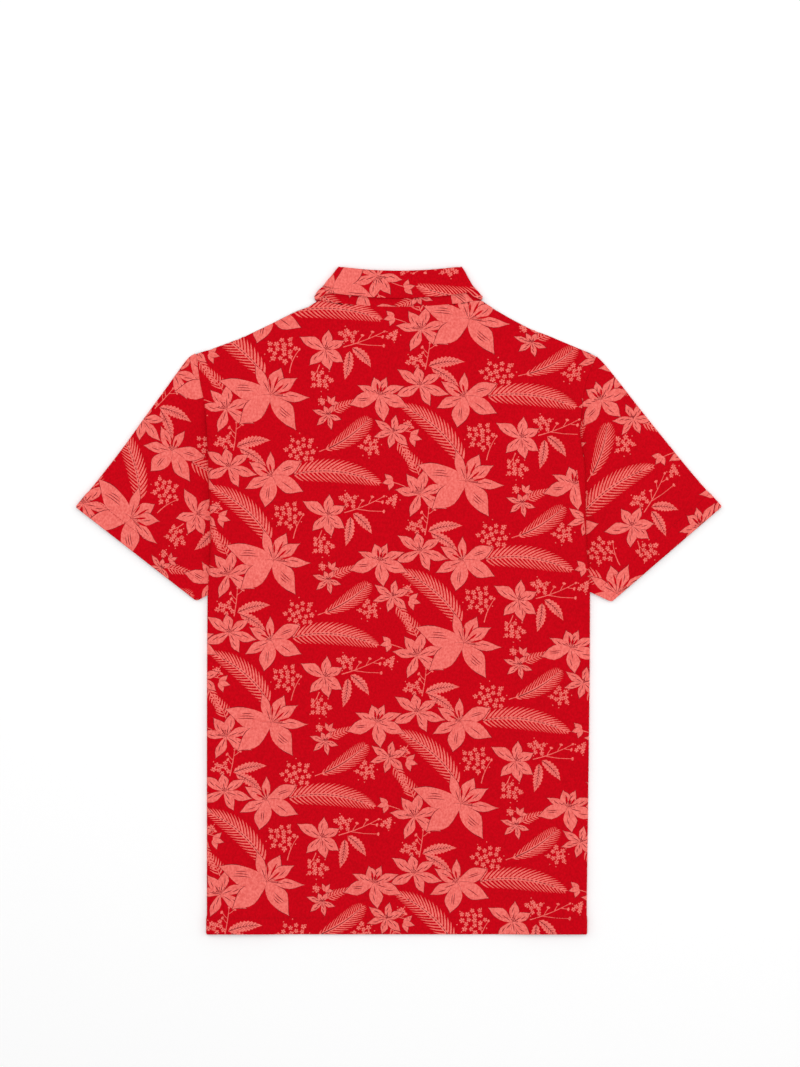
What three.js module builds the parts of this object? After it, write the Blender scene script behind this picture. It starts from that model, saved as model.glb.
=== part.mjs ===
// Short-sleeved polo shirt laid out flat, face down, with its back uppermost and its sides tucked under.
// Millimetres, +Z up. While it is built, x runs from the centre back towards the wearer's right,
// y is the height above the hem ("up"), and z = 0 is the surface that the shirt lies on.
import * as THREE from "three";

// ---- driving sizes ----
const clothThickness = 1.0; // one layer of knit
const seamGap = 0.3; // between layers, and across a seam
const layerPitch = clothThickness + seamGap;
const tuckDepth = 50; // how far each side of the body is folded under
const foldRadius = { outer: 1.5 * layerPitch, inner: 0.5 * layerPitch }; // of a pair of layers folded together
const foldCentreZ = 2 * clothThickness + 1.5 * seamGap;
const foldSteps = 6;

const underarmUp = 378; // height of the top of the side tuck
const sleeveDiveUp = 545; // below this the sleeve runs in under the body's edge
const sleeveRiseUp = 590; // above this body and sleeve lie level, edge to edge

const neckHalf = 92; // neck point, out from the centre
const backNeckUp = 701;
const neckPointUp = 709;
const frontNeckUp = 632;
const collarRollUp = 741.2; // top of the collar at the centre back
const collarRollHalf = 68.3; // half width of the collar along its top
const collarRollRise = 4.6; // how much its corners stand above its centre
const fallEdgeUp = 710.6; // lower edge of the collar fall at the centre back
const frontRollUp = 665; // top of the stand at the centre front, hidden
const leafPoint = { out: 34, up: 596 }; // point of the collar leaf, hidden

const placketWidth = 34;
const placketLength = 150;
const placketLift = 2.3; // the buttons below hold it this far off the surface
const buttonRadius = 5.5;
const buttonThickness = 2.0;
const buttonDrop = 17; // first button, below the neck seam
const buttonSpacing = 48;

// Half width of the laid body: its side folds up to the underarm, and its armhole seams above.
const bodyEdge = [
  { up: 0, left: 214.7, right: 209.4 },
  { up: 378, left: 213.9, right: 213.4 },
  { up: 430, left: 210.6, right: 209.6 },
  { up: 475, left: 211.3, right: 204.8 },
  { up: 520, left: 213.0, right: 199.3 },
  { up: 560, left: 214.7, right: 200.8 },
  { up: 590, left: 217.2, right: 204.8 },
  { up: 618, left: 222.8, right: 209.4 },
  { up: 650, left: 227.0, right: 222.5 },
];

// The shoulder line, by its share of the way from the neck point to the sleeve.
const shoulderLine = [
  { share: 0.0, left: 709.0, right: 709.0 },
  { share: 0.2, left: 695.7, right: 692.9 },
  { share: 0.4, left: 681.7, right: 679.0 },
  { share: 0.6, left: 669.1, right: 667.9 },
  { share: 0.86, left: 655.4, right: 654.8 },
  { share: 1.0, left: 649.0, right: 644.4 },
];

// Corners of each flattened sleeve, out from the centre and up from the body's hem.
const sleeveCorners = {
  left: { hemTop: { out: 361, up: 477.5 }, hemUnder: { out: 226, up: 372.5 } },
  right: { hemTop: { out: 361, up: 478.5 }, hemUnder: { out: 237, up: 371.5 } },
};
const sleeveInner = { out: 164, up: 405 }; // the hidden underarm point
const sleeveHeadRise = 4.5; // how far the sleeve's top edge swells at the shoulder

const sideSign = { left: -1, right: 1 };

// ---- curves ----
function smooth(from, to, at) {
  const share = Math.min(Math.max((at - from) / (to - from), 0), 1);
  return share * share * (3 - 2 * share);
}

function blend(a, b, share) {
  return a + (b - a) * share;
}

// Reads one column of a table at any value of its key, with a smooth curve through the rows.
function readTable(table, key, column, at) {
  const last = table.length - 1;
  if (at <= table[0][key]) return table[0][column];
  if (at >= table[last][key]) return table[last][column];
  const row = table.findIndex((entry) => entry[key] > at) - 1;
  const slopeAt = (index) => {
    const before = table[Math.max(index - 1, 0)];
    const after = table[Math.min(index + 1, last)];
    return (after[column] - before[column]) / (after[key] - before[key]);
  };
  const span = table[row + 1][key] - table[row][key];
  const t = (at - table[row][key]) / span;
  const start = table[row][column];
  const rise = table[row + 1][column] - start;
  const bend = t * t * (3 - 2 * t);
  return (
    start +
    rise * bend +
    span * (slopeAt(row) * t * (1 - t) * (1 - t) - slopeAt(row + 1) * t * t * (1 - t))
  );
}

function edgeOut(side, up) {
  return readTable(bodyEdge, "up", side, up);
}

function shoulderUp(side, out) {
  const tip = edgeOut(side, bodyEdge[bodyEdge.length - 1].up);
  return readTable(shoulderLine, "share", side, (out - neckHalf) / (tip - neckHalf));
}

function backNeck(out) {
  return backNeckUp + (neckPointUp - backNeckUp) * (out / neckHalf) ** 2;
}

function frontNeck(out) {
  const share = Math.max(out - placketWidth / 2, 0) / (neckHalf - placketWidth / 2);
  return blend(frontNeckUp, neckPointUp, share);
}

// How far the tuck, or the sleeve above it, reaches in under the body from its edge.
function reachUnder(up) {
  return tuckDepth * smooth(sleeveDiveUp, sleeveInner.up, up);
}

// ---- how high each layer lies ----
// Underside of the front panel: it climbs over the tucks and sleeves at the sides,
// over the collar leaves by the neck, and over the buttons along the placket.
function frontBed(side, out, up) {
  const innerEnd = edgeOut(side, up) - reachUnder(up);
  const sideLift =
    2 * layerPitch * smooth(innerEnd - 48, innerEnd - 8, out) *
    (1 - smooth(sleeveDiveUp + 8, sleeveRiseUp, up));
  const leafLift =
    layerPitch * smooth(leafPoint.up - 60, leafPoint.up - 8, up) * (1 - smooth(110, 150, out));
  return Math.max(sideLift, leafLift, placketLift * placketZone(out, up));
}

// 1 over the placket and its buttons, falling away to 0 around them.
function placketZone(out, up) {
  const foot = frontNeckUp - placketLength;
  return (1 - smooth(20, 80, out)) * smooth(foot - 50, foot + 14, up);
}

// Underside of the back panel: one layer above the front, and two where the placket doubles it.
function backBed(side, out, up) {
  const doubled = layerPitch * placketZone(out, up) * (1 - smooth(frontNeckUp, frontNeckUp + 50, up));
  return frontBed(side, out, up) + layerPitch + doubled;
}

// ---- walls of cloth ----
// Builds one closed wall around a lattice of points in the middle of the cloth.
// keeps(i, j) says whether the cell from (i, j) to (i + 1, j + 1) is cloth.
function clothWall(columns, rows, spot, keeps = () => true, thickness = clothThickness) {
  const isCloth = (i, j) => i >= 0 && j >= 0 && i < columns && j < rows && keeps(i, j);
  const point = Array.from({ length: columns + 1 }, (_, i) =>
    Array.from({ length: rows + 1 }, (_, j) => spot(i, j)),
  );
  const joined = (i, j, di, dj) => {
    const [a, b] = [Math.min(i, i + di), Math.min(j, j + dj)];
    return di !== 0 ? isCloth(a, b) || isCloth(a, b - 1) : isCloth(a, b) || isCloth(a - 1, b);
  };
  // Direction of the lattice at a point, as long as the mitre it needs.
  const direction = (i, j, di, dj) => {
    const sum = new THREE.Vector3();
    let count = 0;
    for (const way of [-1, 1]) {
      if (!joined(i, j, way * di, way * dj)) continue;
      const step = point[i + way * di][j + way * dj].clone().sub(point[i][j]);
      sum.addScaledVector(step.normalize(), way);
      count += 1;
    }
    return { along: sum.clone().normalize(), mitre: count / sum.length() };
  };

  const positions = [];
  const faces = [];
  const number = new Map();
  const corner = (i, j) => {
    const key = i * (rows + 1) + j;
    if (!number.has(key)) {
      const across = direction(i, j, 1, 0);
      const lengthwise = direction(i, j, 0, 1);
      const normal = across.along.cross(lengthwise.along).normalize();
      normal.multiplyScalar((thickness / 2) * across.mitre * lengthwise.mitre);
      const outside = point[i][j].clone().add(normal);
      const inside = point[i][j].clone().sub(normal);
      inside.z = Math.max(inside.z, 0); // nothing dips below the surface it lies on
      outside.z = Math.max(outside.z, 0);
      number.set(key, positions.length / 3);
      positions.push(...outside.toArray(), ...inside.toArray());
    }
    return number.get(key);
  };
  const quad = (a, b, c, d) => faces.push(a, b, c, a, c, d);
  for (let i = 0; i < columns; i++) {
    for (let j = 0; j < rows; j++) {
      if (!isCloth(i, j)) continue;
      const [a, b, c, d] = [corner(i, j), corner(i + 1, j), corner(i + 1, j + 1), corner(i, j + 1)];
      quad(a, b, c, d);
      quad(a + 1, d + 1, c + 1, b + 1);
      if (!isCloth(i, j - 1)) quad(a + 1, b + 1, b, a);
      if (!isCloth(i + 1, j)) quad(b + 1, c + 1, c, b);
      if (!isCloth(i, j + 1)) quad(c + 1, d + 1, d, c);
      if (!isCloth(i - 1, j)) quad(d + 1, a + 1, a, d);
    }
  }
  const geometry = new THREE.BufferGeometry();
  geometry.setAttribute("position", new THREE.Float32BufferAttribute(positions, 3));
  geometry.setIndex(faces);
  return geometry;
}

// ---- front and back ----
// Lattice columns of half a body panel, from the centre out: fixed ones to the chest,
// shares of the way to the edge, steps round the side fold, and the tuck beneath.
const innerColumns = [0, placketWidth / 2, 42, 67, neckHalf, 113, 135];
const edgeShares = [0.25, 0.5, 0.74, 0.9, 1];
const tuckShares = [0.35, 0.7, 1];
const foldStart = innerColumns.length - 1 + edgeShares.length;
const foldEnd = foldStart + foldSteps;
const halfColumns = foldEnd + tuckShares.length;

// Lattice rows, by their height before the top ones bend to the shoulders and the neck.
const rowUps = [
  0, 95, 190, 270, 335, underarmUp, 405, 433, 460, frontNeckUp - placketLength, 502, 522, sleeveDiveUp, 560, 576,
  sleeveRiseUp, 606, 622, 640,
];
const tuckRows = rowUps.indexOf(underarmUp);
const slitRow = rowUps.indexOf(frontNeckUp - placketLength);
const bendFrom = frontNeckUp - placketLength;
const bendTo = rowUps[rowUps.length - 1];

// Height of a row where it reaches a top point of this height.
function rowUp(j, topUp) {
  return rowUps[j] + smooth(bendFrom, bendTo, rowUps[j]) * (topUp - bendTo);
}

function bodyPanel({ neckLine, bed, radius, hasSlit }) {
  const spot = (i, j) => {
    const n = Math.abs(i - halfColumns);
    const side = i < halfColumns ? "left" : "right";
    const sign = sideSign[side];
    const tipOut = edgeOut(side, bodyEdge[bodyEdge.length - 1].up);
    const edgeShare = n < innerColumns.length ? null : edgeShares[Math.min(n, foldStart) - innerColumns.length];
    const outAt = (edge) =>
      edgeShare === null ? innerColumns[n] : blend(innerColumns[innerColumns.length - 1], edge, edgeShare);
    const topOut = outAt(tipOut);
    const topUp = topOut <= neckHalf ? neckLine(topOut) - seamGap / 2 : shoulderUp(side, topOut);
    let up = rowUp(j, topUp);
    const edge = edgeOut(side, up);
    const isTucked = j <= tuckRows;
    const foldOut = edge - foldRadius.outer - clothThickness / 2;
    const out = outAt(isTucked ? foldOut : edge - seamGap / 2);
    if (n <= foldStart || !isTucked)
      return new THREE.Vector3(sign * out, up, bed(side, out, up) + clothThickness / 2);
    if (n <= foldEnd) {
      const angle = (Math.PI * (n - foldStart)) / foldSteps;
      return new THREE.Vector3(
        sign * (foldOut + radius * Math.sin(angle)),
        up,
        foldCentreZ + radius * Math.cos(angle),
      );
    }
    // The tuck's top edge slants up along the sleeve's underarm seam.
    const inward = tuckShares[n - foldEnd - 1] * (tuckDepth - foldRadius.outer - clothThickness / 2);
    up += smooth(rowUps[tuckRows - 2], underarmUp, rowUps[j]) * inward * 0.46;
    return new THREE.Vector3(sign * (foldOut - inward), up, foldCentreZ - radius);
  };
  const keeps = (i, j) => {
    const n = Math.min(Math.abs(i - halfColumns), Math.abs(i + 1 - halfColumns));
    if (hasSlit && n === 0 && j >= slitRow) return false;
    return n < foldStart || j < tuckRows;
  };
  return clothWall(2 * halfColumns, rowUps.length - 1, spot, keeps);
}

const backPanel = bodyPanel({ neckLine: backNeck, bed: backBed, radius: foldRadius.outer, hasSlit: false });
const frontPanel = bodyPanel({ neckLine: frontNeck, bed: frontBed, radius: foldRadius.inner, hasSlit: true });

// ---- sleeves ----
// A sleeve is one piece folded along its top edge and joined under the arm. Across the lattice it
// follows the armhole from the shoulder tip, row by row with the body, then dives in beneath it.
const divedUps = [515, 480, 440, sleeveInner.up];
const sleeveRows = [0, 0.035, 0.15, 0.35, 0.55, 0.75, 0.9, 1];

function sleeve(side) {
  const { hemTop, hemUnder } = sleeveCorners[side];
  const sign = sideSign[side];
  const tipUp = bodyEdge[bodyEdge.length - 1].up;
  const topUp = shoulderUp(side, edgeOut(side, tipUp));
  const armholeUps = rowUps.map((_, j) => rowUp(j, topUp)).filter((up) => up >= sleeveDiveUp);
  const innerUps = [...armholeUps.reverse(), ...divedUps];
  const innerEnd = innerUps.map((up) => {
    const atSeam = edgeOut(side, up) + seamGap / 2;
    const dive = up >= sleeveDiveUp ? 0 : smooth(sleeveDiveUp, sleeveInner.up, up);
    return { out: blend(atSeam, sleeveInner.out, dive), up };
  });
  const shares = innerUps.map((up) => (innerUps[0] - up) / (innerUps[0] - sleeveInner.up));
  const along = new THREE.Vector2(hemTop.out - innerEnd[0].out, hemTop.up - innerEnd[0].up).normalize();
  const outward = new THREE.Vector2(-along.y, along.x);
  const inset = foldRadius.inner + clothThickness / 2;
  const plyColumns = shares.length - 1;
  const columns = 2 * plyColumns + foldSteps;
  const spot = (i, j) => {
    const column = Math.max(plyColumns - i, i - plyColumns - foldSteps, 0);
    const inner = innerEnd[column];
    const share = shares[column];
    const row = sleeveRows[j];
    const angle = (Math.PI * Math.min(Math.max(i - plyColumns, 0), foldSteps)) / foldSteps;
    const swell = sleeveHeadRise * (1 - row) * smooth(0, 0.04, row) * (1 - smooth(0, 0.2, share));
    const bulge = foldRadius.inner * Math.sin(angle) - inset * (1 - share) * smooth(0, 0.04, row) + swell;
    const out = blend(inner.out, blend(hemTop.out, hemUnder.out, share), row) + outward.x * bulge;
    const up = blend(inner.up, blend(hemTop.up, hemUnder.up, share), row) + outward.y * bulge;
    const z = clothThickness / 2 + foldRadius.inner * (1 + Math.cos(angle));
    return new THREE.Vector3(sign * out, up, z);
  };
  return clothWall(columns, sleeveRows.length - 1, side === "left" ? spot : mirrorColumns(spot, columns));
}

// Runs a lattice the other way, so that a mirrored piece still faces out.
function mirrorColumns(spot, columns) {
  return (i, j) => spot(columns - i, j);
}

// ---- collar ----
// Lines of half the collar in plan, from the centre back round its end fold to the centre front.
const rollInset = foldRadius.inner + clothThickness / 2;
const collarLines = {
  seam: {
    back: (s) => ({ out: (neckHalf - 1.5) * s, up: backNeck((neckHalf - 1.5) * s) + seamGap }),
    front: (s) => {
      const out = blend(neckHalf - 1.5, seamGap, s);
      return { out, up: blend(backNeck(neckHalf - 1.5) + seamGap, frontNeck(out) + seamGap, smooth(0, 0.1, s)) };
    },
  },
  roll: {
    back: (s) => ({ out: (collarRollHalf - rollInset) * s, up: collarRollUp - rollInset + collarRollRise * s * s }),
    front: (s) => {
      const out = blend(collarRollHalf - rollInset, seamGap, s);
      const drop = collarRollUp + collarRollRise - rollInset - frontRollUp;
      return { out, up: frontRollUp + drop * (out / (collarRollHalf - rollInset)) ** 1.15 };
    },
  },
  edge: {
    back: (s) => ({ out: neckHalf * s, up: fallEdgeUp + 8.4 * s * s - 6.5 * smooth(0.86, 1, s) }),
    front: (s) => {
      const bow = 6 * Math.sin(Math.PI * s);
      return {
        out: blend(neckHalf, leafPoint.out, s) + 0.9 * bow,
        up: blend(fallEdgeUp + 1.9, leafPoint.up, s) - 0.4 * bow,
      };
    },
  },
};
const backStations = [0, 0.14, 0.28, 0.42, 0.56, 0.68, 0.78, 0.86, 0.93, 1];
const frontStations = [0.09, 0.2, 0.35, 0.52, 0.7, 0.86, 1];
const endFold = new THREE.Vector2(0.88, 0.475); // way out of the collar's end fold, in plan
const halfStations = backStations.length - 1 + foldSteps + frontStations.length;

// A station's place along the collar: its half, its share of that half and its turn round the fold.
function collarStation(i) {
  const n = Math.abs(i - halfStations);
  const turn = Math.min(Math.max(n - (backStations.length - 1), 0), foldSteps) / foldSteps;
  const past = n - (backStations.length - 1) - foldSteps;
  const line = past > 0 ? (which) => collarLines[which].front(frontStations[past - 1]) : null;
  const share = backStations[Math.min(n, backStations.length - 1)];
  return {
    sign: i < halfStations ? -1 : 1,
    angle: Math.PI * turn,
    plan: line ?? ((which) => collarLines[which].back(share)),
  };
}

// A point of the collar at a plan position, wrapped round the end fold at its own radius.
function collarPoint({ sign, angle }, out, up, radius) {
  const bulge = radius * Math.sin(angle);
  return new THREE.Vector3(
    sign * (out + endFold.x * bulge),
    up + endFold.y * bulge,
    foldCentreZ + radius * Math.cos(angle),
  );
}

const standRows = [0, 0.5, 1];

function collarStand() {
  const spot = (i, j) => {
    const station = collarStation(i);
    const seam = station.plan("seam");
    const roll = station.plan("roll");
    const height = Math.hypot(roll.out - seam.out, roll.up - seam.up);
    const share = standRows[j] * (1 - (2 * seamGap) / height);
    return collarPoint(
      station,
      blend(seam.out, roll.out, share),
      blend(seam.up, roll.up, share),
      foldRadius.inner,
    );
  };
  return clothWall(2 * halfStations, standRows.length - 1, spot);
}

const rollSteps = 4;
const fallRows = [0.25, 0.5, 0.75, 1];

function collarFall() {
  const spot = (i, j) => {
    const station = collarStation(i);
    const seam = station.plan("seam");
    const roll = station.plan("roll");
    const edge = station.plan("edge");
    const height = Math.hypot(roll.out - seam.out, roll.up - seam.up);
    const turn = Math.PI * Math.max(1 - j / rollSteps, 0);
    const lean = (foldRadius.inner * Math.sin(turn)) / height;
    const share = j > rollSteps ? fallRows[j - rollSteps - 1] : 0;
    const radius = 2 * foldRadius.inner + foldRadius.inner * Math.cos(turn);
    return collarPoint(
      station,
      blend(roll.out, edge.out, share) + (roll.out - seam.out) * lean,
      blend(roll.up, edge.up, share) + (roll.up - seam.up) * lean,
      radius,
    );
  };
  const rows = rollSteps + fallRows.length;
  return clothWall(2 * halfStations, rows, (i, j) => spot(2 * halfStations - i, j));
}

// ---- placket and buttons ----
function placketStrip(lift) {
  const columns = 4;
  const ups = [0, 0.08, 0.2, 0.4, 0.6, 0.8, 1];
  const foot = frontNeckUp - placketLength + seamGap;
  const spot = (i, j) => {
    const x = (placketWidth - 2 * seamGap) * (i / columns - 0.5);
    const up = blend(foot, frontNeck(Math.abs(x)) - seamGap / 2, ups[j]);
    const bed = frontBed("left", Math.abs(x), up);
    return new THREE.Vector3(x, up, bed + lift + clothThickness / 2);
  };
  return clothWall(columns, ups.length - 1, spot);
}

// A sew-through button with a raised rim, face down.
function button() {
  const profile = [
    [0, 0.5], [buttonRadius - 1.6, 0.5], [buttonRadius - 1.1, 0], [buttonRadius - 0.3, 0],
    [buttonRadius, 0.4], [buttonRadius, buttonThickness - 0.4], [buttonRadius - 0.4, buttonThickness],
    [0, buttonThickness],
  ].map(([radius, height]) => new THREE.Vector2(radius, height));
  return new THREE.LatheGeometry(profile, 24).rotateX(Math.PI / 2);
}

// ---- assembly ----
const knitRed = new THREE.MeshStandardMaterial({ color: "#c9091c", roughness: 0.85, metalness: 0 });
const collarRed = new THREE.MeshStandardMaterial({ color: "#c4142a", roughness: 0.85, metalness: 0 });
const buttonResin = new THREE.MeshStandardMaterial({ color: "#a30d1d", roughness: 0.35, metalness: 0 });

const shirt = new THREE.Group();
function add(name, geometry, material) {
  const mesh = new THREE.Mesh(geometry, material.clone());
  mesh.name = name;
  shirt.add(mesh);
  return mesh;
}

add("back_panel", backPanel, knitRed);
add("front_panel", frontPanel, knitRed);
add("left_sleeve", sleeve("left"), knitRed);
add("right_sleeve", sleeve("right"), knitRed);
add("collar_stand", collarStand(), collarRed);
add("collar_fall", collarFall(), collarRed);
add("placket_upper", placketStrip(0), knitRed);
add("placket_lower", placketStrip(layerPitch), knitRed);
["button_top", "button_middle", "button_bottom"].forEach((name, index) => {
  const mesh = add(name, button(), buttonResin);
  mesh.position.set(0, frontNeckUp - buttonDrop - index * buttonSpacing, 0);
});

// The part's origin is the middle of its footprint, on the surface it lies on.
const middle = new THREE.Box3().setFromObject(shirt).getCenter(new THREE.Vector3());
const part = new THREE.Group();
part.add(shirt);
shirt.position.set(-middle.x, -middle.y, 0);

export default part;
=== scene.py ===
import math

import bpy
import numpy as np
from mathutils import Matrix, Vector
from mathutils.bvhtree import BVHTree
from mathutils.geometry import delaunay_2d_cdt


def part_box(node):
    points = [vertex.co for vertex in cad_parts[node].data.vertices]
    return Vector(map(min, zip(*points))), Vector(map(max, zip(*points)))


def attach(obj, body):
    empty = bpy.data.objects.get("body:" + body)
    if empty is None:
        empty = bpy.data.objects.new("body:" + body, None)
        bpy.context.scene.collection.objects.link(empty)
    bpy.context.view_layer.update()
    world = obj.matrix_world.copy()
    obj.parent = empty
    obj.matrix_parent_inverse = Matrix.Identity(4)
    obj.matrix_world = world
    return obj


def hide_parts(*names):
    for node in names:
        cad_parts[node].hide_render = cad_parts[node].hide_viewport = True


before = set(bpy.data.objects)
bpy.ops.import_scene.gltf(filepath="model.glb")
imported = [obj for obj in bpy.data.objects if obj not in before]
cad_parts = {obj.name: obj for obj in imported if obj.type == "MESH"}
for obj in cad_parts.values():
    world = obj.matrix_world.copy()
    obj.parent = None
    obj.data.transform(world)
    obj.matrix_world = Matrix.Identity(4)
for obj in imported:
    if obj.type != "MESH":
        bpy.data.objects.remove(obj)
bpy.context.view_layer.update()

# Sizes are in millimetres. x runs out from the centre back, "up" is the height above the hem, and
# z = 0 is the surface that the shirt lies on, face down. Meshes are made in metres at the end.
mm = 0.001
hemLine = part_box("back_panel")[0].y / mm  # where the hem lies in the frame
cloth = {
    "thickness": 1.0,
    "gap": 0.3,  # across a seam, and between layers
    "pitch": 1.3,  # from layer to layer
    "outerFold": 1.95,  # radius of the outer one of two layers folded together
    "innerFold": 0.65,
    "foldCentre": 2.45,  # height of the middle of such a fold
    "groove": {"depth": 0.45, "reach": 0.8},  # the line that a row of stitches pulls in
}

# camera and light

view = {"centre": (1.1, 74.5), "height": 1193.0, "lens": 100.0, "sensor": 36.0}
distance = view["height"] * mm * view["lens"] / view["sensor"]
cameraData = bpy.data.cameras.new("camera")
cameraData.lens = view["lens"]
cameraData.sensor_width = view["sensor"]
cameraData.clip_end = 20
camera = bpy.data.objects.new("camera", cameraData)
camera.location = (view["centre"][0] * mm, view["centre"][1] * mm, distance)
bpy.context.collection.objects.link(camera)
bpy.context.scene.camera = camera
bpy.context.scene.view_settings.view_transform = "Standard"


def linear(code):
    channels = [int(code[k:k + 2], 16) / 255 for k in (1, 3, 5)]
    return [c / 12.92 if c <= 0.04045 else ((c + 0.055) / 1.055) ** 2.4 for c in channels] + [1.0]


studio = {
    "floor": "#fefefe",
    "floorReach": 6.0,  # metres, as the lamps' places and widths are
    "floorDrop": 0.0002,  # just under the cloth, so that the two never share a face
    "world": 0.53,
    # name, position, width, power in watts
    "lamps": [
        ("overhead", (0.0, 0.25, 2.6), 2.6, 30.0),
        ("left", (-2.0, 0.9, 1.5), 1.6, 8.5),
        ("right", (2.1, 0.3, 1.6), 1.6, 11.5),
    ],
}


def makeStudio():
    world = bpy.data.worlds.new("studio")
    world.use_nodes = True
    world.node_tree.nodes["Background"].inputs["Color"].default_value = (1, 1, 1, 1)
    world.node_tree.nodes["Background"].inputs["Strength"].default_value = studio["world"]
    bpy.context.scene.world = world
    for name, place, width, power in studio["lamps"]:
        data = bpy.data.lights.new(name, "AREA")
        data.shape = "DISK"
        data.size = width
        data.energy = power
        lamp = bpy.data.objects.new(name, data)
        lamp.location = place
        lamp.rotation_euler = Vector(place).to_track_quat("Z", "Y").to_euler()
        bpy.context.collection.objects.link(lamp)
    floorMesh = bpy.data.meshes.new("floor")
    reach, drop = studio["floorReach"], studio["floorDrop"]
    corners = [(x * reach, y * reach, -drop) for x, y in ((-1, -1), (1, -1), (1, 1), (-1, 1))]
    floorMesh.from_pydata(corners, [], [(0, 1, 2, 3)])
    floor = bpy.data.objects.new("floor", floorMesh)
    bpy.context.collection.objects.link(floor)
    material = bpy.data.materials.new("matt white board")
    material.use_nodes = True
    shader = material.node_tree.nodes["Principled BSDF"]
    shader.inputs["Base Color"].default_value = linear(studio["floor"])
    shader.inputs["Roughness"].default_value = 0.95
    shader.inputs["Specular IOR Level"].default_value = 0.0
    floorMesh.materials.append(material)


makeStudio()
print("studio made")


# materials

def addNode(tree, kind, settings=None, links=None):
    # settings are the node's properties or its sockets' values; links are (socket, other node, its output)
    node = tree.nodes.new(kind)
    for name, value in (settings or {}).items():
        if isinstance(name, int) or name in node.inputs:
            node.inputs[name].default_value = value
        else:
            setattr(node, name, value)
    for socket, other, output in links or []:
        tree.links.new(other.outputs[output], node.inputs[socket])
    return node


# Cotton pique, reactive printed: dead matt, with a short fuzz that only shows at grazing angles.
# Its loops are about 0.9 mm apart, too fine to show, so the grain is drawn about twice as coarse.
knit = {
    "grain": 2.1,
    "stretch": 1.35,  # the loops stand taller than they are wide
    "patch": 55.0,  # slow change in the depth of the dye
    "bump": 0.25,
    "bumpHeight": 0.4,
    "rough": 0.92,
    "specular": 0.05,
    "sheen": 0.04,
    "sheenRough": 0.6,
    "sheenTint": "#ff5a50",
}


def knitMaterial(name, colour, shade):
    material = bpy.data.materials.new(name)
    material.use_nodes = True
    tree = material.node_tree
    shader = tree.nodes["Principled BSDF"]
    place = addNode(tree, "ShaderNodeTexCoord")
    squeeze = addNode(tree, "ShaderNodeMapping", {"Scale": (1.0, 1 / knit["stretch"], 1.0)},
                      [("Vector", place, "Object")])
    grain = addNode(tree, "ShaderNodeTexNoise", {"Scale": 1 / (knit["grain"] * mm), "Detail": 1.5},
                    [("Vector", squeeze, "Vector")])
    patch = addNode(tree, "ShaderNodeTexNoise", {"Scale": 1 / (knit["patch"] * mm), "Detail": 2.0},
                    [("Vector", place, "Object")])
    spread = addNode(tree, "ShaderNodeMapRange", {"From Min": 0.32, "From Max": 0.68, "To Max": 0.8},
                     [("Value", grain, "Fac")])
    share = addNode(tree, "ShaderNodeMath", {"operation": "MULTIPLY_ADD", 1: 0.3},
                    [(0, patch, "Fac"), (2, spread, "Result")])
    mix = addNode(tree, "ShaderNodeMix", {"data_type": "RGBA", 6: linear(colour), 7: linear(shade)},
                  [(0, share, "Value")])
    bump = addNode(tree, "ShaderNodeBump", {"Strength": knit["bump"], "Distance": knit["bumpHeight"] * mm},
                   [("Height", grain, "Fac")])
    tree.links.new(mix.outputs[2], shader.inputs["Base Color"])
    tree.links.new(bump.outputs["Normal"], shader.inputs["Normal"])
    shader.inputs["Roughness"].default_value = knit["rough"]
    shader.inputs["Specular IOR Level"].default_value = knit["specular"]
    shader.inputs["Sheen Weight"].default_value = knit["sheen"]
    shader.inputs["Sheen Roughness"].default_value = knit["sheenRough"]
    shader.inputs["Sheen Tint"].default_value = linear(knit["sheenTint"])
    return material


# One set of inks for all the cloth: the dyed ground, the flowers discharged to coral,
# the drawing in dark red over them, and the duller wrong side of the knit.
inks = {
    "ground": knitMaterial("dyed knit ground", "#d20216", "#b90211"),
    "coral": knitMaterial("coral discharge print", "#fb7f76", "#e45f58"),
    "line": knitMaterial("dark red line print", "#860b1a", "#7c0917"),
    "wrongSide": knitMaterial("wrong side of the knit", "#b3202c", "#a51826"),
}
inkNames = list(inks)

# Sewing thread, spun polyester dyed to match: a little smoother and brighter than the knit round it.
thread = knitMaterial("red sewing thread", "#b80a1c", "#a90818")
thread.node_tree.nodes["Principled BSDF"].inputs["Roughness"].default_value = 0.7


# Polyester resin, cast and tumbled: a soft gloss over a faint cloudy swirl.
resin = {"body": "#a30d1d", "cloud": "#b81c2c", "swirl": 3.0, "rough": 0.28, "ior": 1.55}


def resinMaterial():
    material = bpy.data.materials.new("cast resin, tumbled")
    material.use_nodes = True
    tree = material.node_tree
    shader = tree.nodes["Principled BSDF"]
    place = addNode(tree, "ShaderNodeTexCoord")
    cloud = addNode(tree, "ShaderNodeTexNoise",
                    {"Scale": 1 / (resin["swirl"] * mm), "Detail": 3.0, "Distortion": 1.2},
                    [("Vector", place, "Object")])
    mix = addNode(tree, "ShaderNodeMix",
                  {"data_type": "RGBA", 6: linear(resin["body"]), 7: linear(resin["cloud"])},
                  [(0, cloud, "Fac")])
    tree.links.new(mix.outputs[2], shader.inputs["Base Color"])
    shader.inputs["Roughness"].default_value = resin["rough"]
    shader.inputs["IOR"].default_value = resin["ior"]
    return material


print("materials made")

# the print: lilies, palm fronds, ferns and small blossoms. Each motif is a list of (ink, outline),
# drawn by formula from its own sizes, in painter's order.

def spineOf(length, bend, t):
    # points and left-hand normals along an arc that starts at the origin along x; bend is in radians
    turn = bend * t
    if abs(bend) < 1e-6:
        points = np.stack([length * t, 0 * t], 1)
    else:
        points = length / bend * np.stack([np.sin(turn), 1 - np.cos(turn)], 1)
    return points, np.stack([-np.sin(turn), np.cos(turn)], 1)


def turned(points, angle, to=(0, 0)):
    c, s = math.cos(math.radians(angle)), math.sin(math.radians(angle))
    return points @ np.array([[c, s], [-s, c]]) + np.array(to, float)


def placed(made, angle, to=(0, 0)):
    return [(ink, turned(points, angle, to)) for ink, points in made]


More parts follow.
